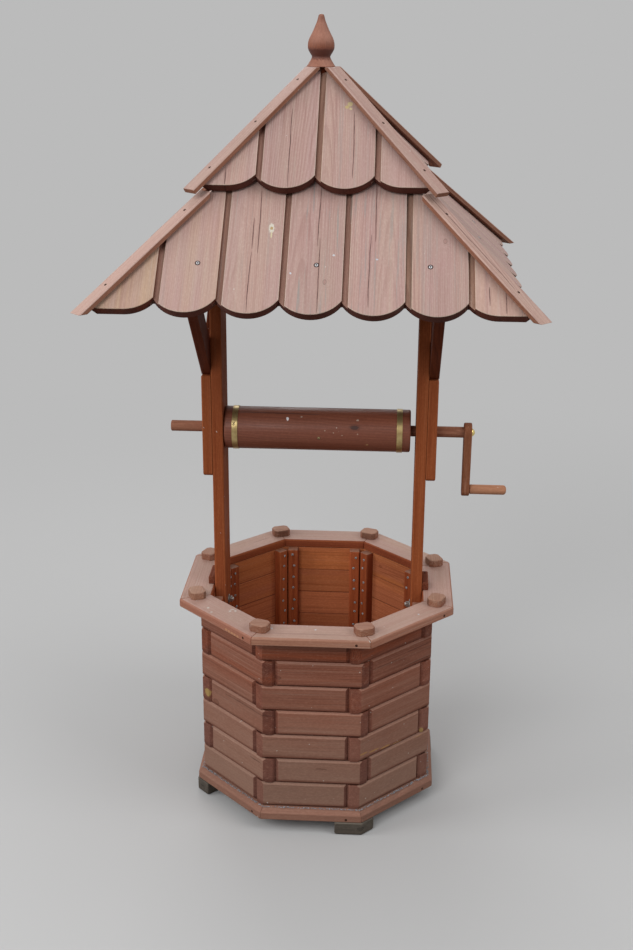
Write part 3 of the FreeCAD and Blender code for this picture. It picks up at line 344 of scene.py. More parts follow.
# The finishes of the wood. Each takes what it doesn't give, apart from spots, from the one it is like.
woodLooks = {
    "roofWood": dict(
        Base=(184, 151, 145), Dark=(154, 114, 107), Pale=(198, 170, 161), Grey=(184, 166, 152),
        Gold=(200, 168, 138), Crack=(76, 52, 46), Rings=0.5, Streaks=0.5, Fibres=0.55, WeatherAndTopLight=0.3, WearAndHighlight=0.25,
        Reach=0.003, Season=0.12, Splits=1.0, Specks=0.3),
    "frontRoofWood": dict(
        like="roofWood", spots=[
            ((-0.0779, -0.2574, 1.292), (0.0055, 0.012, 0.012), (212, 206, 192)),
            ((-0.0775, -0.268, 1.2815), (0.0015, 0.008, 0.008), (206, 196, 160)),
            ((-0.0779, -0.2574, 1.292), (0.0028, 0.004, 0.004), (172, 142, 92)),
            ((0.038, -0.3, 1.252), 0.0025, (196, 200, 204)),
            ((-0.038, -0.331, 1.224), (0.002, 0.002, 0.004), (200, 204, 210)),
            ((0.116, -0.306, 1.247), 0.0022, (190, 196, 208))]),
    "frontUpperWood": dict(
        like="roofWood", spots=[
            ((0.0563, -0.0778, 1.5003), 0.006, (200, 184, 136)),
            ((0.0508, -0.0815, 1.4945), 0.0045, (192, 172, 120)),
            ((0.0578, -0.0845, 1.4915), 0.003, (204, 190, 148))]),
    "lipWood": dict(
        like="roofWood", Base=(160, 122, 108), Dark=(122, 84, 70), Pale=(176, 140, 126), Grey=(150, 112, 98),
        Season=0.0, WearAndHighlight=0.0),
    # Painted highlight: the pale wood of the rounded edges of the roof boards, along the scalloped ends.
    "arrisHighlightWood": dict(
        like="roofWood", Base=(206, 182, 168), Dark=(170, 140, 126), Pale=(222, 206, 192), Splits=0.0),
    "battenWood": dict(like="roofWood", Base=(190, 158, 147), Season=0.06, WearAndHighlight=0.3),
    "rimWood": dict(
        like="roofWood", Base=(190, 154, 142), Dark=(164, 122, 108), Pale=(198, 166, 152), Rings=0.4,
        Streaks=0.4, Fibres=0.4, Season=0.03, WearAndHighlight=0.0, Splits=0.5, Specks=0.8, spots=[
            ((-0.225, -0.1612, 0.478), (0.0032, 0.0036, 0.003), (205, 200, 190)),
            ((-0.2153, -0.181, 0.478), (0.0026, 0.003, 0.003), (200, 194, 184)),
            ((-0.1768, -0.174, 0.478), (0.0032, 0.005, 0.003), (204, 192, 184)),
            ((-0.173, -0.1655, 0.478), (0.0055, 0.0026, 0.003), (204, 192, 184)),
            ((-0.166, -0.1715, 0.478), (0.003, 0.005, 0.003), (204, 192, 184)),
            ((-0.083, -0.2477, 0.478), 0.0025, (205, 208, 214)),
            ((0.0069, -0.2482, 0.478), 0.0025, (205, 208, 214)),
            ((0.2173, -0.1607, 0.478), 0.0025, (205, 208, 214))]),
    "rimEdgeWood": dict(
        like="rimWood", Base=(168, 110, 88), Dark=(134, 78, 60), Pale=(180, 134, 114), WearAndHighlight=0.4, spots=[
            ((-0.1781 + 0.0066 * step, -0.2349 - 0.0066 * step, 0.4655 - 0.0005 * step),
             (0.0042, 0.0042, 0.003), (190, 138, 102)) for step in range(5)]),
    "blockWood": dict(
        like="rimWood", Base=(172, 124, 102), Dark=(134, 84, 64), Pale=(190, 148, 128), WearAndHighlight=0.5,
        Reach=0.004),
    # Painted shade: the blocks' outer sides and ends, partly darker end grain, and their inner faces darker
    # still.
    "blockShadedSideWood": dict(like="rimWood", Base=(146, 94, 72), Dark=(110, 62, 44)),
    "blockShadedInnerWood": dict(like="blockShadedSideWood", Base=(114, 70, 52), Dark=(84, 48, 36), Pale=(146, 102, 84)),
    "wallWood": dict(
        Base=(147, 92, 73), Dark=(104, 58, 43), Pale=(174, 128, 108), Grey=(150, 120, 104),
        Gold=(156, 82, 54), Crack=(56, 32, 24), Rings=0.4, Streaks=0.55, Fibres=0.55, WeatherAndTopLight=0.1, WearAndHighlight=0.15,
        Reach=0.003, Soil=0.8, Season=0.07, Splits=0.7, Specks=0.75, EdgeShade=0.75, EdgeShadeWidth=0.009, gloss=0.2, spots=[
            ((0.1076 + 0.024 * step, -0.2446 + 0.024 * step, 0.1888 - 0.0042 * step),
             (0.017, 0.017, 0.0022), (172, 128, 84)) for step in range(6)]),
    "wallEndWood": dict(
        like="wallWood", Base=(116, 66, 52), Dark=(74, 38, 28), Rings=0.5, WearAndHighlight=0.1, Soil=0.5,
        Grey=(122, 88, 78), EdgeShade=0.5, spots=sapSpots),
    # Painted light: the ends that face back along the board, towards the light from the left, take a lighter
    # copy of the end grain.
    "wallLitEndWood": dict(
        like="wallEndWood", Base=(134, 80, 63), Dark=(96, 52, 40), Grey=(138, 104, 92), spots=sapSpots),
    # The upper chamfer is paler: partly dust, partly painted light where it faces up.
    "dustyLitChamferWood": dict(
        like="wallWood", EdgeShade=0.0, Base=(164, 118, 100), Dark=(124, 78, 62), Pale=(186, 150, 136), WearAndHighlight=0.0),
    "shadowChamferWood": dict(
        like="wallWood", EdgeShade=0.0, Base=(88, 42, 30), Dark=(62, 28, 20), Pale=(122, 66, 48), WearAndHighlight=0.0,
        Soil=0.1),
    "ringWood": dict(like="wallWood", Base=(150, 91, 72), Soil=0.55),
    "innerWood": dict(
        like="wallWood", Base=(196, 118, 80), Dark=(140, 70, 40), Pale=(214, 142, 98), EdgeShade=0.8, EdgeShadeWidth=0.0022,
        Gold=(206, 124, 72), Grey=(176, 104, 70), WearAndHighlight=0.1, Soil=0.0, Rings=0.35, Splits=0.0, Specks=0.0),
    "innerBattenWood": dict(like="innerWood", Base=(168, 84, 46), Dark=(116, 50, 26), Pale=(180, 102, 62)),
    "battenTopWood": dict(like="innerWood", Base=(150, 110, 92), Dark=(112, 74, 58), Pale=(168, 134, 118)),
    "frameWood": dict(
        Base=(153, 82, 49), Dark=(112, 50, 25), Pale=(180, 106, 66), Grey=(150, 96, 70), Gold=(166, 92, 52),
        Crack=(50, 22, 12), Rings=0.4, Streaks=0.5, Fibres=0.4, WeatherAndTopLight=0.1, WearAndHighlight=0.45, Reach=0.003,
        Season=0.06, Splits=1.0, Specks=0.3, gloss=0.06),
    "cleatWood": dict(
        like="frameWood", Base=(112, 60, 44), Dark=(78, 40, 30), Pale=(140, 88, 70), Fibres=0.7),
    "rimUnderWood": dict(like="frameWood", Base=(146, 76, 50), Dark=(108, 50, 30)),
    "grooveWood": dict(like="frameWood", Base=(158, 112, 98), Dark=(120, 78, 66), Season=0.0),
    # Painted shade: dark wood for undersides and the parts under the roof, where the light does not reach.
    "shadedUnderWood": dict(
        like="frameWood", Base=(100, 46, 29), Dark=(66, 28, 18), Pale=(124, 68, 48), Grey=(106, 60, 44),
        gloss=0.08),
    "battenSideWood": dict(
        like="frameWood", Base=(148, 106, 88), Dark=(104, 66, 52), Pale=(172, 132, 114), Grey=(150, 112, 96)),
    "drumWood": dict(
        like="frameWood", Base=(132, 76, 57), Dark=(92, 50, 38), Pale=(150, 96, 78), Gold=(138, 84, 64),
        Season=0.05, WeatherAndTopLight=0.0, Rings=0.3, Streaks=0.4, Fibres=0.3, Specks=0.0, gloss=0.35, polish=0.7,
        spots=[
            ((0.074, -0.0415, 0.8453), (0.014, 0.009, 0.008), (112, 64, 49)),
            ((0.074, -0.0415, 0.8453), (0.009, 0.006, 0.0045), (68, 40, 34)),
            ((-0.0669, -0.0328, 0.8588), (0.0032, 0.004, 0.005), (238, 234, 236)),
            ((-0.0378, -0.0287, 0.8626), (0.0022, 0.002, 0.0015), (176, 158, 144)),
            ((0.0364, -0.0419, 0.8445), 0.0014, (186, 166, 148)),
            ((0.0806, -0.0448, 0.8323), 0.0014, (186, 166, 148)),
            ((0.1008, -0.0404, 0.8083), (0.003, 0.003, 0.002), (170, 130, 90)),
            ((0.0798, -0.0326, 0.859), (0.0028, 0.003, 0.0016), (184, 166, 150)),
            ((0.012, -0.0438, 0.838), (0.0013, 0.0014, 0.0013), (182, 160, 140)),
            ((0.03, -0.0445, 0.834), (0.0012, 0.0014, 0.0012), (182, 160, 140)),
            ((0.041, -0.0448, 0.8375), (0.001, 0.0012, 0.001), (182, 160, 140)),
            ((0.048, -0.0448, 0.829), (0.0012, 0.0014, 0.0012), (182, 160, 140))]),
    "axleWood": dict(
        like="frameWood", Base=(158, 108, 86), Dark=(120, 74, 56), Pale=(180, 130, 106), Gold=(180, 124, 90),
        WeatherAndTopLight=0.0, Season=0.0),
    "handleWood": dict(like="axleWood", Base=(187, 134, 104), Dark=(150, 98, 72), Pale=(210, 162, 134)),
    "armWood": dict(like="axleWood", Base=(130, 78, 56), Dark=(96, 54, 38)),
    # Painted shade and light: the two spots darken the waist under the bulb, and the strong upward grey
    # lightens the top, partly dust.
    "finialWood": dict(
        like="frameWood", Base=(122, 68, 47), Dark=(92, 50, 36), Pale=(152, 102, 84), Grey=(176, 125, 106),
        WeatherAndTopLight=0.8, Season=0.0, Fibres=0.3, Rings=0.2, gloss=0.45, polish=0.8, spots=[
            ((-0.004, 0, 1.5885), (0.2, 0.2, 0.0125), (112, 62, 46)),
            ((-0.004, 0, 1.5885), (0.2, 0.2, 0.0085), (84, 42, 31))]),
    "footWood": dict(
        Base=(80, 71, 62), Dark=(44, 38, 33), Pale=(116, 107, 96), Grey=(96, 89, 81), Gold=(80, 72, 62),
        Crack=(28, 24, 22), Rings=0.5, Streaks=0.6, Fibres=0.7, WeatherAndTopLight=0.4, WearAndHighlight=0.5, Reach=0.005, Soil=0.3,
        Season=0.2, Splits=1.0, Specks=0.9),
    "endWood": dict(
        Base=(93, 54, 46), Dark=(58, 34, 29), Pale=(114, 70, 56), Grey=(96, 60, 50), Gold=(112, 58, 42),
        Crack=(34, 22, 18), Rings=0.6, Streaks=0.4, Fibres=0.3, Reach=0.002, Season=0.1, Splits=1.0,
        gloss=0.1),
}


def fullLook(name):
    look = woodLooks[name]
    return {**(fullLook(look["like"]) if "like" in look else {}), "spots": (), **look}


woods = {name: woodMaterial(name, fullLook(name)) for name in woodLooks}


# Brass with tarnish, and dull steel with a little rust.
def metalMaterial(name, bright, dull, roughness, scale, metallic=0.8):
    material, tree, shader = newMaterial(name)
    where = objectPlace(tree)
    patch = where.noise((scale, scale, scale), 4.0, 0.6)
    scratch = where.noise((scale * 0.4, scale * 9, scale * 9), 2.0, 0.6)
    color = mix(patch.ramp(0.35, 0.75, 0.0, 0.8), rgb(*bright), rgb(*dull))
    color = mix(scratch.ramp(0.6, 0.75, 0.0, 0.3), color, rgb(*dull))
    fill(shader, {"Base Color": color, "Roughness": patch.ramp(0.35, 0.65, roughness, roughness + 0.15),
                  "Metallic": metallic, "Normal": bumped(scratch, 0.15, 0.0003)})
    return material


# Bright and dull tint, roughness, and how many patches a metre holds.
metalLooks = {
    "agedBrass": ((194, 172, 120), (142, 115, 74), 0.32, 45.0),
    "dullSteel": ((190, 188, 184), (140, 130, 122), 0.35, 90.0),
    "zincScrew": ((210, 212, 216), (160, 156, 152), 0.45, 90.0, 0.3),
    "polishedBrass": ((236, 214, 138), (196, 160, 84), 0.18, 45.0),
    "rustyNail": ((96, 78, 68), (62, 42, 32), 0.6, 300.0),
}
materials = {**woods, **{name: metalMaterial(name, *look) for name, look in metalLooks.items()}}
print("materials made")


# Frames of the boards: each gives the directions along, across and through a board.
def facetFrame(degrees):
    def directions(centre):
        step = math.radians(degrees)
        turn = round(math.atan2(centre.y, centre.x) / step) * step
        outward = Vector((math.cos(turn), math.sin(turn), 0))
        return Vector((-outward.y, outward.x, 0)), Vector((0, 0, 1)), outward
    return directions


def leaned(outward, across, angle):
    up = Vector((0, 0, 1))
    return (up * math.sin(angle) - outward * math.cos(angle), across,
            up * math.cos(angle) + outward * math.sin(angle))


def slopeFrame(degrees):
    def directions(centre):
        along, up, outward = squareFrame(centre)
        return leaned(outward, along, math.radians(degrees))
    return directions


def hipFrame(degrees):
    def directions(centre):
        outward = Vector((math.copysign(1, centre.x), math.copysign(1, centre.y), 0)).normalized()
        fall = math.atan(math.tan(math.radians(degrees)) / math.sqrt(2))
        return leaned(outward, outward.cross(Vector((0, 0, 1))), fall)
    return directions


def braceFrame(centre, degrees=47):
    lean = math.radians(degrees)
    along = Vector((0, math.copysign(1, centre.y) * math.sin(lean), math.cos(lean)))
    return along, Vector((1, 0, 0)).cross(along), Vector((1, 0, 0))


def fixedFrame(along, across, through):
    return lambda centre: (Vector(along), Vector(across), Vector(through))


def reordered(directions, *order):
    return lambda centre: [directions(centre)[index] for index in order]


wallFrame, squareFrame = facetFrame(45), facetFrame(90)
flatFrame, uprightFrame = reordered(wallFrame, 0, 2, 1), reordered(wallFrame, 1, 0, 2)
lengthwise = fixedFrame((1, 0, 0), (0, 1, 0), (0, 0, 1))
crosswise = fixedFrame((0, 1, 0), (1, 0, 0), (0, 0, 1))
standing = fixedFrame((0, 0, 1), (0, 1, 0), (1, 0, 0))


def islandsOf(mesh):
    left = set(mesh.verts)
    while left:
        start = left.pop()
        found, queue = [start], [start]
        while queue:
            for edge in queue.pop().link_edges:
                for vertex in edge.verts:
                    if vertex in left:
                        left.discard(vertex)
                        found.append(vertex)
                        queue.append(vertex)
        yield found


# Which finish a face of a board takes: each rule gets the normal in the board's own
# directions, and how deep the face lies under the board's upper side.
lipDepth, chamferDepth = 0.004, 0.006


# The underside of a roof board takes the dark wood of painted shade.
def roofFinish(normal, depth):
    if normal[2] > 0.6:
        return 1 if depth > lipDepth else 0
    if normal[2] < -0.6:
        return 4
    return 2 if abs(normal[0]) > 0.3 else 3


# Painted light and shade: the upper chamfer and the ends facing back along the board take lighter copies, the
# lower chamfer and deep faces a shadowed one.
def wallFinish(normal, depth):
    if normal[2] < -0.5:
        return 1
    if depth > chamferDepth:
        return 2 if normal[0] > 0.5 else 5 if normal[0] < -0.5 else 4
    return 3 if normal[1] > 0.4 else 4 if normal[1] < -0.4 else 0


def topFinish(normal, depth):
    return 0 if normal[2] > 0.9 else 1 if normal[1] > 0.3 else 2


def faceFinish(normal, depth):
    return 0 if normal[2] > 0.5 else 1


# A block's top takes the lit wood; its sides and inner face darker copies as painted shade.
def blockFinish(normal, depth):
    return 0 if normal[2] > 0.5 else 2 if normal[1] < -0.5 else 1


def endFinish(normal, depth):
    return 1 if normal[0] > 0.5 else 0


# How the boards of a kind differ, and the marks that the years left on them.
dressing = {
    "lightness": (0.92, 1.08),
    "golden": (0.0, 0.35),
    "grain": (0.6, 1.5),
    "crackChance": 0.45,
    "knotChance": 0.3,
    "knotRadius": (0.0025, 0.0055),
    "bleach": 0.0,
    "rounding": 0.0012,
    "arris": None,
    "shape": None,
}
noCrack, noKnot = (0, 9, 9), (0, 0, 0)
axleHeight = 0.828
# The marks that the photo shows: cracks are across, first and last, knots across, along and radius.
frontMarks = {
    "lower_roof_front": {
        "eave": (0, -0.396, 1.165),
        "cracks": [
            (-0.112, 0.002, 0.134), (-0.101, 0.13, 0.275), (-0.112, 0.14, 0.212), (0.008, 0.149, 0.29),
            (0.012, 0.002, 0.168), (0.111, 0.16, 0.3), (0.103, 0.016, 0.177), (0.316, 0.025, 0.066),
            (0.345, 0.009, 0.063)],
        "knots": [
            (-0.0779, 0.188, 0.004), (0.024, 0.07, 0.003), (0.238, 0.165, 0.003), (-0.107, 0.19, 0.002)],
        "golden": [0.9, 0.4, 0.2, 0.1, 0.15, 0.3, 0.35], "silver": [0, 0.2, 0.35, 1, 0.6, 0.3, 0.5]},
    "upper_roof_front": {
        "eave": (0, -0.218, 1.3605),
        "cracks": [(-0.053, 0.0, 0.187), (0.066, 0.023, 0.181), (-0.169, 0.001, 0.045)], "knots": [],
        "golden": [0.2, 0.1, 0.2, 0.15], "silver": [0.1, 0.15, 0.3, 0.1]},
    "windlass_drum": {
        "eave": (0, 0, axleHeight), "cracks": [(-0.022, -0.19, 0.0)], "knots": [], "golden": [0.2],
        "silver": [0]},
}
# The angles, in degrees, between faces that are one plane, at a rounded edge and at a sharp edge.
planeAngle, roundedAngle, sharpAngle, turnedAngle = 1, 28, 30, 40
mergeDistance = 0.00002


# A dressed copy of a CAD node: its boards get rounded arrises and each its own grain; where an arris wood is
# given, the rounded edges take it as painted highlight.
def dressBoards(node, directions, finishes, finish=None, smooth=False, **changes):
    look = dict(dressing, **changes)
    mesh = look["shape"] or bmesh.new()
    if not look["shape"]:
        mesh.from_mesh(frame["nodes"][node].data)
    bmesh.ops.remove_doubles(mesh, verts=mesh.verts, dist=mergeDistance)
    if not smooth:
        flatness = math.radians(planeAngle)
        bmesh.ops.dissolve_limit(mesh, angle_limit=flatness, verts=mesh.verts, edges=mesh.edges)
    layers = {name: mesh.verts.layers.float_vector.new(name)
              for name in ("grain", "halfSize", "boardTone", "knotOne", *crackNames)}
    layers.update({name: mesh.verts.layers.float.new(name) for name in ("boardSeed", "boardSilver")})
    chance = random.Random(node)
    marks = frontMarks.get(node)
    groups = sorted(
        islandsOf(mesh), key=lambda verts: min(tuple(round(v, 4) for v in vert.co) for vert in verts))
    for count, verts in enumerate(groups):
        low, high = (Vector(pick(vert.co[axis] for vert in verts) for axis in range(3))
                     for pick in (min, max))
        axes = directions((low + high) / 2)
        values = [[vert.co.dot(axis) for axis in axes] for vert in verts]
        ends = [(min(column), max(column)) for column in zip(*values)]
        middle = Vector((first + last) / 2 for first, last in ends)
        size = Vector((last - first) / 2 for first, last in ends)
        number = chance.random()
        tone = Vector(chance.uniform(*look[name]) for name in ("lightness", "golden", "grain"))
        cracks, knots, silver = [], [], chance.random() * look["bleach"]
        if marks:
            silver = marks["silver"][count % len(marks["silver"])]
            tone.y = marks["golden"][count % len(marks["golden"])]
            base = Vector(marks["eave"]).dot(axes[0]) - middle.x
            cracks = [(across - middle.y, base + first, base + last)
                      for across, first, last in marks["cracks"] if abs(across - middle.y) < size.y]
            knots = [(base + along, across - middle.y, radius)
                     for across, along, radius in marks["knots"] if abs(across - middle.y) < size.y]
        else:
            while len(cracks) < len(crackNames) and chance.random() < look["crackChance"]:
                first, last = sorted(chance.uniform(-1.1, 1.1) * size.x for _ in range(2))
                cracks.append((chance.uniform(-0.8, 0.8) * size.y, first, last))
            if chance.random() < look["knotChance"]:
                knots.append((chance.uniform(-0.8, 0.8) * size.x, chance.uniform(-0.7, 0.7) * size.y,
                              chance.uniform(*look["knotRadius"])))
        given = {"halfSize": size, "boardTone": tone, "knotOne": [*knots, noKnot][0], "boardSeed": number,
                 "boardSilver": silver, **dict(zip(crackNames, cracks + [noCrack] * len(crackNames)))}
        for vert, value in zip(verts, values):
            vert[layers["grain"]] = Vector(value) - middle
            for name, item in given.items():
                vert[layers[name]] = item
        if finish:
            for face in {face for vert in verts for face in vert.link_faces}:
                normal = [face.normal.dot(axis) for axis in axes]
                depth = ends[2][1] - face.calc_center_median().dot(axes[2])
                face.material_index = finish(normal, depth)
    weight = mesh.edges.layers.float.new("bevel_weight_edge")
    for edge in mesh.edges:
        faces = edge.link_faces
        if len(faces) == 2 and faces[0].normal.angle(faces[1].normal, 0) > math.radians(roundedAngle):
            upper = min(face.material_index for face in faces) == 0
            edge[weight] = 1.0 if upper or not look["arris"] else 0.0
    for face in mesh.faces:
        face.smooth = True
    data = bpy.data.meshes.new(node + "_boards")
    mesh.to_mesh(data)
    mesh.free()
    for name in finishes:
        data.materials.append(materials[name])
    piece = addObject(node + "_boards", data)
    data.set_sharp_from_angle(angle=math.radians(turnedAngle if smooth else sharpAngle))
    if look["rounding"]:
        rounding = piece.modifiers.new("roundedEdges", "BEVEL")
        rounding.width = look["rounding"]
        rounding.segments = 2
        rounding.limit_method = "WEIGHT"
        # The rounded edges take the arris wood as painted highlight.
        if look["arris"]:
            data.materials.append(materials[look["arris"]])
            rounding.material = len(finishes)
    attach(piece, "windlass" if node in windlassNodes else "well")
    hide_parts(node)


windlassNodes = set(frame["record"]["behaviour"]["bodies"]["windlass"])
slots = {entry["node"]: entry["material_slot"] for entry in frame["record"]["subparts"]}
slots["crank_screw"] = "brass"
roofSlopes = {"lower": 42.5, "upper": 44.5}
corners = ("front_right", "front_left", "back_right", "back_left")
for side in ("front", "right", "back", "left"):
    for tier, frontTop in (("lower", "frontRoofWood"), ("upper", "frontUpperWood")):
        top = frontTop if side == "front" else "roofWood"
        dressBoards(f"{tier}_roof_{side}", slopeFrame(roofSlopes[tier]),
                    [top, "lipWood", "endWood", "grooveWood", "shadedUnderWood"], roofFinish, crackChance=0.6,
                    bleach=0.8, arris="arrisHighlightWood")
for corner in corners:
    for tier, slope in roofSlopes.items():
        dressBoards(f"{tier}_hip_batten_{corner}", hipFrame(slope), ["battenWood", "battenSideWood"],
                    faceFinish, knotChance=0.1, crackChance=0.2)
# How light each course of the wall is, from the ground up, and how golden. The top two are darker and redder:
# partly the wood's own tone, partly painted shade under the rim.
courseTonesAndShade = ((0.98, 0.0), (1.02, 0.0), (1.05, 0.0), (1.04, 0.1), (1.05, 0.2), (0.95, 0.5), (0.97, 0.95))
for number, (tone, goldAndShade) in enumerate(courseTonesAndShade, start=1):
    dressBoards(f"wall_course_{number}", wallFrame,
                ["wallWood", "innerWood", "wallEndWood", "dustyLitChamferWood", "shadowChamferWood", "wallLitEndWood"],
                wallFinish, rounding=0.001, lightness=(tone - 0.06, tone + 0.06),
                golden=(goldAndShade, goldAndShade + 0.15), crackChance=0.12, knotChance=0.08, grain=(0.3, 1.4))
dressBoards("base_ring_boards", flatFrame, ["ringWood"], rounding=0.0015, crackChance=0.1)
dressBoards("floor_slats", crosswise, ["innerWood"])
dressBoards("corner_battens", uprightFrame, ["innerBattenWood", "battenTopWood"], endFinish, crackChance=0.1,
            knotChance=0.05)
dressBoards("rim_boards", flatFrame, ["rimWood", "rimEdgeWood", "rimUnderWood"], topFinish, rounding=0.0015,
            knotChance=0.0, crackChance=0.1, lightness=(0.96, 1.04))
dressBoards("rim_blocks", flatFrame, ["blockWood", "blockShadedSideWood", "blockShadedInnerWood"], blockFinish,
            rounding=0.001, knotChance=0.0, crackChance=0.2)
dressBoards("feet", squareFrame, ["footWood"], rounding=0.002)
for side in ("left", "right"):
    dressBoards("post_" + side, standing, ["frameWood"], knotChance=0.0, rounding=0.001)
    dressBoards("post_cleat_" + side, crosswise, ["cleatWood"])
    dressBoards("bearing_cheek_" + side, standing, ["frameWood"], crackChance=0.2)
    # The braces take the dark wood of painted shade.
    for end in ("front", "rear"):
        dressBoards(f"brace_{side}_{end}", braceFrame, ["shadedUnderWood"])
# The rails, rafters, crown block and packers under the roof take the dark wood of painted shade.
for node, directions in (("eave_rails", squareFrame), ("mid_rails", squareFrame),
                         ("hip_rafters", hipFrame(roofSlopes["lower"])), ("crown_block", standing),
                         ("upper_roof_packers", squareFrame)):
    dressBoards(node, directions, ["shadedUnderWood"])

# The turned outline in millimetres: radius, and how far under the tip. The rest is in metres.
finialTurning = {
    "outline": [
        (0.0, 0.0), (2.9, 0.2), (4.9, 1.4), (5.9, 4.0), (7.8, 12.0), (11.1, 19.7), (14.3, 27.3), (18.1, 35.0),
        (22.5, 42.7), (25.2, 50.4), (25.9, 56.5), (25.8, 62.0), (24.6, 65.7), (22.7, 69.2), (20.8, 72.4),
        (18.9, 75.2), (17.8, 77.4), (18.0, 79.4), (19.3, 82.6), (22.1, 87.0), (24.7, 91.2)],
    "hem": [(0.0006, 0.002), (0, 0.0008), (0, 0)],
    "rise": 0.096, "shoulder": 0.015, "shoulderDrop": 0.018, "peg": 0.007, "steps": 48}


def turnFinial():
    low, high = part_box("finial")
    centre = ((low[0] + high[0]) / 2, (low[1] + high[1]) / 2)
    skirt, foot = (high[0] - low[0]) / 2, high[2] - finialTurning["rise"]
    curve = bpy.data.curves.new("finial_outline", "CURVE")
    curve.dimensions = "3D"
    spline = curve.splines.new("NURBS")
    outline = [(radius / 1000, high[2] - drop / 1000) for radius, drop in finialTurning["outline"]]
    outline += [(skirt - inset, foot + rise) for inset, rise in finialTurning["hem"]]
    spline.points.add(len(outline) - 1)
    for point, (radius, level) in zip(spline.points, outline):
        point.co = (radius, 0, level, 1)
    spline.order_u = 3
    spline.use_endpoint_u = True
    spline.resolution_u = 4
    guide = addObject("finial_outline", curve)
    rings = [(vert.co.x, vert.co.z) for vert in bpy.data.meshes.new_from_object(guide).vertices]
    bpy.data.objects.remove(guide)
    shoulder, peg = finialTurning["shoulder"], finialTurning["peg"]
    below = foot - finialTurning["shoulderDrop"]
    rings += [(shoulder, foot), (shoulder, below), (peg, below), (peg, low[2]), (0.0, low[2])]
    mesh, loops, steps = bmesh.new(), [], finialTurning["steps"]
    for radius, level in rings:
        if radius < mergeDistance:
            loops.append([mesh.verts.new((*centre, level))] * steps)
            continue
        loop = []
        for step in range(steps):
            angle = 2 * math.pi * step / steps
            place = (centre[0] + radius * math.cos(angle), centre[1] + radius * math.sin(angle), level)
            loop.append(mesh.verts.new(place))
        loops.append(loop)
    for upper, lower in zip(loops, loops[1:]):
        for step in range(steps):
            after = (step + 1) % steps
            ring = [upper[step], upper[after], lower[after], lower[step]]
            face = mesh.faces.new(list(dict.fromkeys(ring)))
            # The collar under the skirt takes the dark wood of painted shade.
            face.material_index = 1 if upper[step].co.z <= foot + 0.00001 else 0
    bmesh.ops.recalc_face_normals(mesh, faces=mesh.faces)
    return mesh


dressBoards("finial", standing, ["finialWood", "shadedUnderWood"], smooth=True, knotChance=0.0, crackChance=0.0,
            rounding=0, shape=turnFinial())
dressBoards("windlass_drum", lengthwise, ["drumWood"], rounding=0.004)
dressBoards("windlass_axle", lengthwise, ["axleWood"], smooth=True, knotChance=0.0, rounding=0.0008)
dressBoards("crank_handle", lengthwise, ["handleWood"], smooth=True, knotChance=0.0, crackChance=0.0,
            rounding=0)
dressBoards("crank_arm", standing, ["armWood"], rounding=0.0008, knotChance=0.0)
for node, metal in (("brass_bands", "agedBrass"), ("crank_screw", "polishedBrass"),
                    ("post_bolts", "dullSteel"), ("post_bolt_nuts", "dullSteel")):
    dressBoards(node, lengthwise, [metal], smooth=True, rounding=0.0003)
print("boards dressed")


# Small heads of screws and nails, one on each point, turned to the way the point faces. The four
# sizes of each kind are in the order of their names.
headSizes = ("Head Radius", "Head Height", "Slot Width", "Sink Radius")
fastening = {
    "screw": (0.0029, 0.0012, 0.0009, 0.0033),
    "roofScrew": (0.0036, 0.0006, 0.0012, 0.0052),
    "nail": (0.0021, 0.0004, 0.0002, 0.0027),
    "drumPin": (0.0028, 0.0004, 0.0014, 0.0035),
    "dowelHole": (0.0012, 0.0003, 0.0002, 0.0028),
}


# The end of a tree that puts a shape on every point: a plain mesh with its material.
def planted(tree, inputs, material):
    placed = outputOf(tree, "GeometryNodeInstanceOnPoints", inputs)
    real = outputOf(tree, "GeometryNodeRealizeInstances", {"Geometry": placed})
    return outputOf(tree, "GeometryNodeSetMaterial", {"Geometry": real, "Material": material})


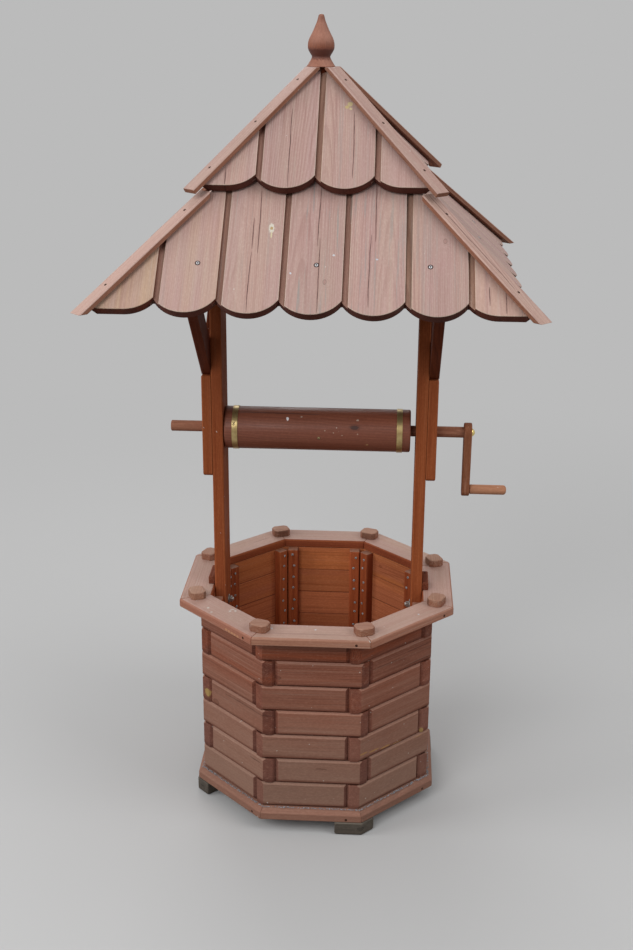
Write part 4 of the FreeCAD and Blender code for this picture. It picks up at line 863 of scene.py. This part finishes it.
def buildHeadNodes():
    tree, given, out = newGroup(
        "fastenerHeads", "GeometryNodeTree",
        {"Geometry": "Geometry", **dict.fromkeys(headSizes, "Float"), "Head Metal": "Material",
         "Sink Stain": "Material"},
        {"Geometry": "Geometry"})
    points, radius, height, slotWidth, sinkRadius, metal, stain = given.values()

    def cone(sides, bottom, top, depth):
        inputs = {"Vertices": sides, "Radius Bottom": bottom, "Depth": depth, "Radius Top": bottom * top}
        return outputOf(tree, "GeometryNodeMeshCone", inputs, "Mesh")

    def shifted(part, level):
        offset = outputOf(tree, "ShaderNodeCombineXYZ", {"Z": level})
        return outputOf(tree, "GeometryNodeTransform", {"Geometry": part, "Translation": offset})

    def joined(*parts):
        node = addNode(tree, "GeometryNodeJoinGeometry")
        for part in parts:
            fill(node, {0: part})
        return Signal(node)

    def named(name, kind):
        inputs = {"Name": name}
        return outputOf(tree, "GeometryNodeInputNamedAttribute", inputs, "Attribute", data_type=kind)

    crossParts = []
    for long, wide in ((1.0, 0.0), (0.0, 1.0)):
        size = outputOf(tree, "ShaderNodeCombineXYZ", {
            "X": radius * long + slotWidth * (1 - long), "Y": radius * wide + slotWidth * (1 - wide),
            "Z": height * 0.5})
        bar = outputOf(tree, "GeometryNodeMeshCube", {"Size": size}, "Mesh")
        crossParts.append(shifted(bar, height * 0.8))
    stained = joined(shifted(cone(16, sinkRadius, 0.96, 0.0004), -0.0002), *crossParts)
    inputs = {"Geometry": stained, "Name": "stainedPart", "Value": True}
    marked = outputOf(tree, "GeometryNodeStoreNamedAttribute", inputs, data_type="BOOLEAN", domain="FACE")
    inputs = {"Vector": named("facing", "FLOAT_VECTOR")}
    aim = outputOf(tree, "FunctionNodeAlignRotationToVector", inputs, axis="Z")
    spin = outputOf(tree, "FunctionNodeRandomValue", {"Seed": 7, 3: 3.0}, 1, data_type="FLOAT")
    euler = outputOf(tree, "ShaderNodeCombineXYZ", {"Z": spin})
    turn = outputOf(tree, "FunctionNodeEulerToRotation", {"Euler": euler})
    inputs = {"Rotation": aim, "Rotate By": turn}
    twist = outputOf(tree, "FunctionNodeRotateRotation", inputs, rotation_space="LOCAL")
    head = joined(cone(14, radius, 0.72, height), marked)
    heads = planted(tree, {"Points": points, "Instance": head, "Rotation": twist}, metal)
    inputs = {"Geometry": heads, "Selection": named("stainedPart", "BOOLEAN"), "Material": stain}
    fill(out, {0: outputOf(tree, "GeometryNodeSetMaterial", inputs)})
    return tree


headNodes = buildHeadNodes()


# The points go into the nodes as bare vertices; the result is a plain mesh on its body.
def growPieces(name, points, tree, settings, body, faces=()):
    data = bpy.data.meshes.new(name + "_points")
    data.from_pydata([place for place, facing in points], [], faces)
    facing = data.attributes.new("facing", "FLOAT_VECTOR", "POINT")
    for index, (place, way) in enumerate(points):
        facing.data[index].vector = way
    seedling = addObject(name + "_points", data)
    grow = seedling.modifiers.new("grow", "NODES")
    grow.node_group = tree
    for item in tree.interface.items_tree:
        if item.item_type == "SOCKET" and item.in_out == "INPUT" and item.name in settings:
            grow[item.identifier] = settings[item.name]
    grown = seedling.evaluated_get(bpy.context.evaluated_depsgraph_get())
    mesh = bpy.data.meshes.new_from_object(grown)
    seedling.modifiers.remove(grow)
    bpy.data.objects.remove(seedling)
    piece = addObject(name, mesh)
    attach(piece, body)


def growHeads(name, points, kind, metal, stain, body="well"):
    settings = dict(zip(headSizes, fastening[kind]))
    settings.update({"Head Metal": materials[metal], "Sink Stain": materials[stain]})
    growPieces(name, points, headNodes, settings, body)


def turned(vector, degrees):
    return Matrix.Rotation(math.radians(degrees), 3, "Z") @ Vector(vector)


courseHeight = 0.0577
# Rim and ring nails: how far out, how far along the side, and how high.
nailSites = {
    "battenScrews": {
        "apothem": 0.2057, "reach": 0.073,
        "levels": [0.0852 + courseHeight * row + step for row in range(7) for step in (-0.012, 0.014)]},
    "rimNails": (0.292, 0.093, 0.467),
    "ringNails": (0.262, 0.078, 0.0365),
    "roofScrews": {"places": (-0.2067, 0.0078, 0.2118), "up": 0.107, "eave": (0.396, 1.165)},
    "hipNails": {"upper": (0.046, 0.12, 0.198), "lower": (0.24, 0.366)},
    "drumPins": [(-0.1798, -0.0406, 0.8475, 0.0461), (-0.0005, -0.0445, 0.8216, 0.0449)],
}
shaken = random.Random(11)


def astray(value, most):
    return value + shaken.uniform(-most, most)


# The places of one side, worked out again for every side, because no two are quite alike.
def around(sides, places, way):
    return [(turned(place, side * 360 / sides), turned(way, side * 360 / sides))
            for side in range(sides) for place in places()]


site = nailSites["battenScrews"]
points = around(8, lambda: [(site["apothem"], astray(side * site["reach"], 0.003), astray(level, 0.003))
                            for side in (-1, 1) for level in site["levels"]], (-1, 0, 0))
growHeads("batten_screws", points, "screw", "zincScrew", "rustyNail")
points = []
for key in ("rimNails", "ringNails"):
    apothem, across, level = nailSites[key]
    points += around(8, lambda: [(apothem, astray(across, 0.004), level)], (1, 0, 0))
growHeads("edge_nails", points, "dowelHole", "rustyNail", "grooveWood")
site, lean = nailSites["roofScrews"], math.radians(roofSlopes["lower"])
forward, level = site["up"] * math.cos(lean) - site["eave"][0], site["eave"][1] + site["up"] * math.sin(lean)
points = around(4, lambda: [(across, forward, level) for across in site["places"]],
                (0, -math.sin(lean), math.cos(lean)))
growHeads("roof_screws", points, "roofScrew", "zincScrew", "shadedUnderWood")
points = []
for corner in corners:
    for tier in ("upper", "lower"):
        batten = f"{tier}_hip_batten_{corner}"
        low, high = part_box(batten)
        centre = (Vector(low) + Vector(high)) / 2
        along, across, through = hipFrame(roofSlopes[tier])(centre)
        verts = frame["nodes"][batten].data.vertices
        top = max(vert.co.dot(through) for vert in verts)
        sides = [vert.co.dot(across) for vert in verts]
        for reach in nailSites["hipNails"][tier]:
            flat = Vector((math.copysign(reach, centre.x), math.copysign(reach, centre.y), 0))
            foot = flat + across * ((min(sides) + max(sides)) / 2 - flat.dot(across))
            points.append((foot + Vector((0, 0, (top - foot.dot(through)) / through.z)), through))
growHeads("hip_nails", points, "nail", "rustyNail", "grooveWood")
points = []
for along, forward, level, radius in nailSites["drumPins"]:
    away = Vector((0, forward, level - axleHeight)).normalized()
    points.append((Vector((along, 0, axleHeight)) + away * radius, away))
growHeads("drum_pins", points, "drumPin", "agedBrass", "rustyNail", "windlass")

# Grit that the rain left along the foot of the wall.
gritLook = {"Stone Size": 0.0011, "Amount": 230000.0, "strip": (0.2492, 0.2542),
            "dark": rgb(104, 108, 114), "light": rgb(178, 182, 190)}
gritMaterial, gritTree, gritShader = newMaterial("paleGrit")
gritTone = objectPlace(gritTree).noise((300.0, 300.0, 300.0), 2.0)
fill(gritShader, {"Base Color": mix(gritTone.ramp(0.35, 0.65), gritLook["dark"], gritLook["light"]),
                  "Roughness": 0.9})


def buildGritNodes():
    tree, given, out = newGroup(
        "scatteredGrit", "GeometryNodeTree",
        {"Geometry": "Geometry", "Stone Size": "Float", "Amount": "Float", "Stone": "Material"},
        {"Geometry": "Geometry"})
    ground, stoneSize, amount, material = given.values()
    inputs = {"Mesh": ground, "Density": amount, "Seed": 5}
    spread = addNode(tree, "GeometryNodeDistributePointsOnFaces", inputs)
    stone = outputOf(tree, "GeometryNodeMeshIcoSphere", {"Subdivisions": 1, "Radius": stoneSize}, "Mesh")
    inputs = {"Seed": 3, 0: (0.4, 0.4, 0.3), 1: (1.2, 1.2, 0.8)}
    size = outputOf(tree, "FunctionNodeRandomValue", inputs, data_type="FLOAT_VECTOR")
    inputs = {"Points": Signal(spread, "Points"), "Rotation": Signal(spread, "Rotation"), "Instance": stone,
              "Scale": size}
    fill(out, {0: planted(tree, inputs, material)})
    return tree


strip = []
for apothem in gritLook["strip"]:
    place = (apothem / math.cos(math.radians(22.5)), 0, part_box("base_ring_boards")[1][2])
    strip += [(turned(place, 22.5 + 45 * index), (0, 0, 1)) for index in range(8)]
ringFaces = [(index, (index + 1) % 8, 8 + (index + 1) % 8, 8 + index) for index in range(8)]
growPieces("ring_grit", strip, buildGritNodes(), dict(gritLook, Stone=gritMaterial), "well",
           ringFaces)
print("screws, nails and grit placed")

# Floor, light and camera.
studio = {
    "background": rgb(187, 187, 187),
    "floor": rgb(194, 194, 194),
    "floorBounce": (0.16, 0.15, 0.14, 1),
    "fade": (1.0, 3.2),
    "sky": 0.38,
    "reach": 40,
    "lamps": {
        "overhead": ((0, 0.3, 5.0), (0, 0, 0.9), 3.5, 35),
        "frontLeft": ((-2.0, -4.1, 3.7), (0, 0, 0.7), 3.0, 106),
        "left": ((-4.4, -1.2, 2.6), (0, 0, 0.6), 2.0, 66),
        "right": ((3.3, -1.6, 3.5), (0, 0, 0.9), 2.5, 58),
        "behind": ((-1.0, 4.0, 3.6), (0, 0, 0.9), 2.5, 50)},
    "cameraPlace": (0.1426, -2.6731, 1.6828),
    "cameraTurn": (0.056, 0.344, 0.007),
    "lens": 50.12,
}


# One where the camera looks straight at a surface, or at its image in metal or glass.
def directView(tree):
    rays = addNode(tree, "ShaderNodeLightPath")
    kinds = ("Camera", "Glossy", "Transmission")
    camera, glossy, through = (Signal(rays, f"Is {kind} Ray") for kind in kinds)
    return camera.atLeast(glossy).atLeast(through)


def blended(tree, factor, first, second):
    return outputOf(tree, "ShaderNodeMixShader", {0: factor, 1: Signal(first), 2: Signal(second)})


floorMaterial, floorTree, floorShader = newMaterial("paleFloor")
direct = directView(floorTree)
fill(floorShader, {"Base Color": mix(direct, studio["floorBounce"], studio["floor"]), "Roughness": 0.95,
                   "Specular IOR Level": 0.1})
away = objectPlace(floorTree).vectorMaths("LENGTH", output="Value")
glow = addNode(floorTree, "ShaderNodeEmission", {"Color": studio["background"]})
fade = away.ramp(*studio["fade"]) * direct
fill(floorTree.nodes["Material Output"], {"Surface": blended(floorTree, fade, floorShader, glow)})
floorData = bpy.data.meshes.new("studioFloor")
reach = studio["reach"]
floorCorners = [(-reach, -reach, 0), (reach, -reach, 0), (reach, reach, 0), (-reach, reach, 0)]
floorData.from_pydata(floorCorners, [], [(0, 1, 2, 3)])
floorData.materials.append(floorMaterial)
addObject("studioFloor", floorData)

world = bpy.data.worlds.new("studio")
scene.world = world
world.use_nodes = True
worldTree = world.node_tree
worldTree.nodes.clear()
sky = addNode(worldTree, "ShaderNodeBackground", {"Color": (1, 1, 1, 1), "Strength": studio["sky"]})
seen = addNode(worldTree, "ShaderNodeBackground", {"Color": studio["background"], "Strength": 1})
addNode(worldTree, "ShaderNodeOutputWorld", {"Surface": blended(worldTree, directView(worldTree), sky, seen)})

for name, (place, target, size, power) in studio["lamps"].items():
    lamp = bpy.data.lights.new(name, "AREA")
    lamp.shape, lamp.size, lamp.energy = "SQUARE", size, power
    light = addObject(name, lamp)
    light.location = place
    light.rotation_euler = (Vector(target) - Vector(place)).to_track_quat("-Z", "Y").to_euler()

cameraData = bpy.data.cameras.new("photoCamera")
cameraData.sensor_width = 36
cameraData.lens = studio["lens"]
camera = addObject("photoCamera", cameraData)
scene.camera = camera
yaw, pitch, roll = studio["cameraTurn"]
ahead = Vector((-math.sin(yaw) * math.cos(pitch), math.cos(yaw) * math.cos(pitch), -math.sin(pitch)))
rightward = Vector((math.cos(yaw), math.sin(yaw), 0))
upward = rightward.cross(ahead)
tiltRight = rightward * math.cos(roll) + upward * math.sin(roll)
tiltUp = upward * math.cos(roll) - rightward * math.sin(roll)
rows = zip(tiltRight, tiltUp, -ahead, studio["cameraPlace"])
camera.matrix_world = Matrix((*rows, (0, 0, 0, 1)))
scene.view_settings.view_transform = "Standard"
print("floor, light and camera set")
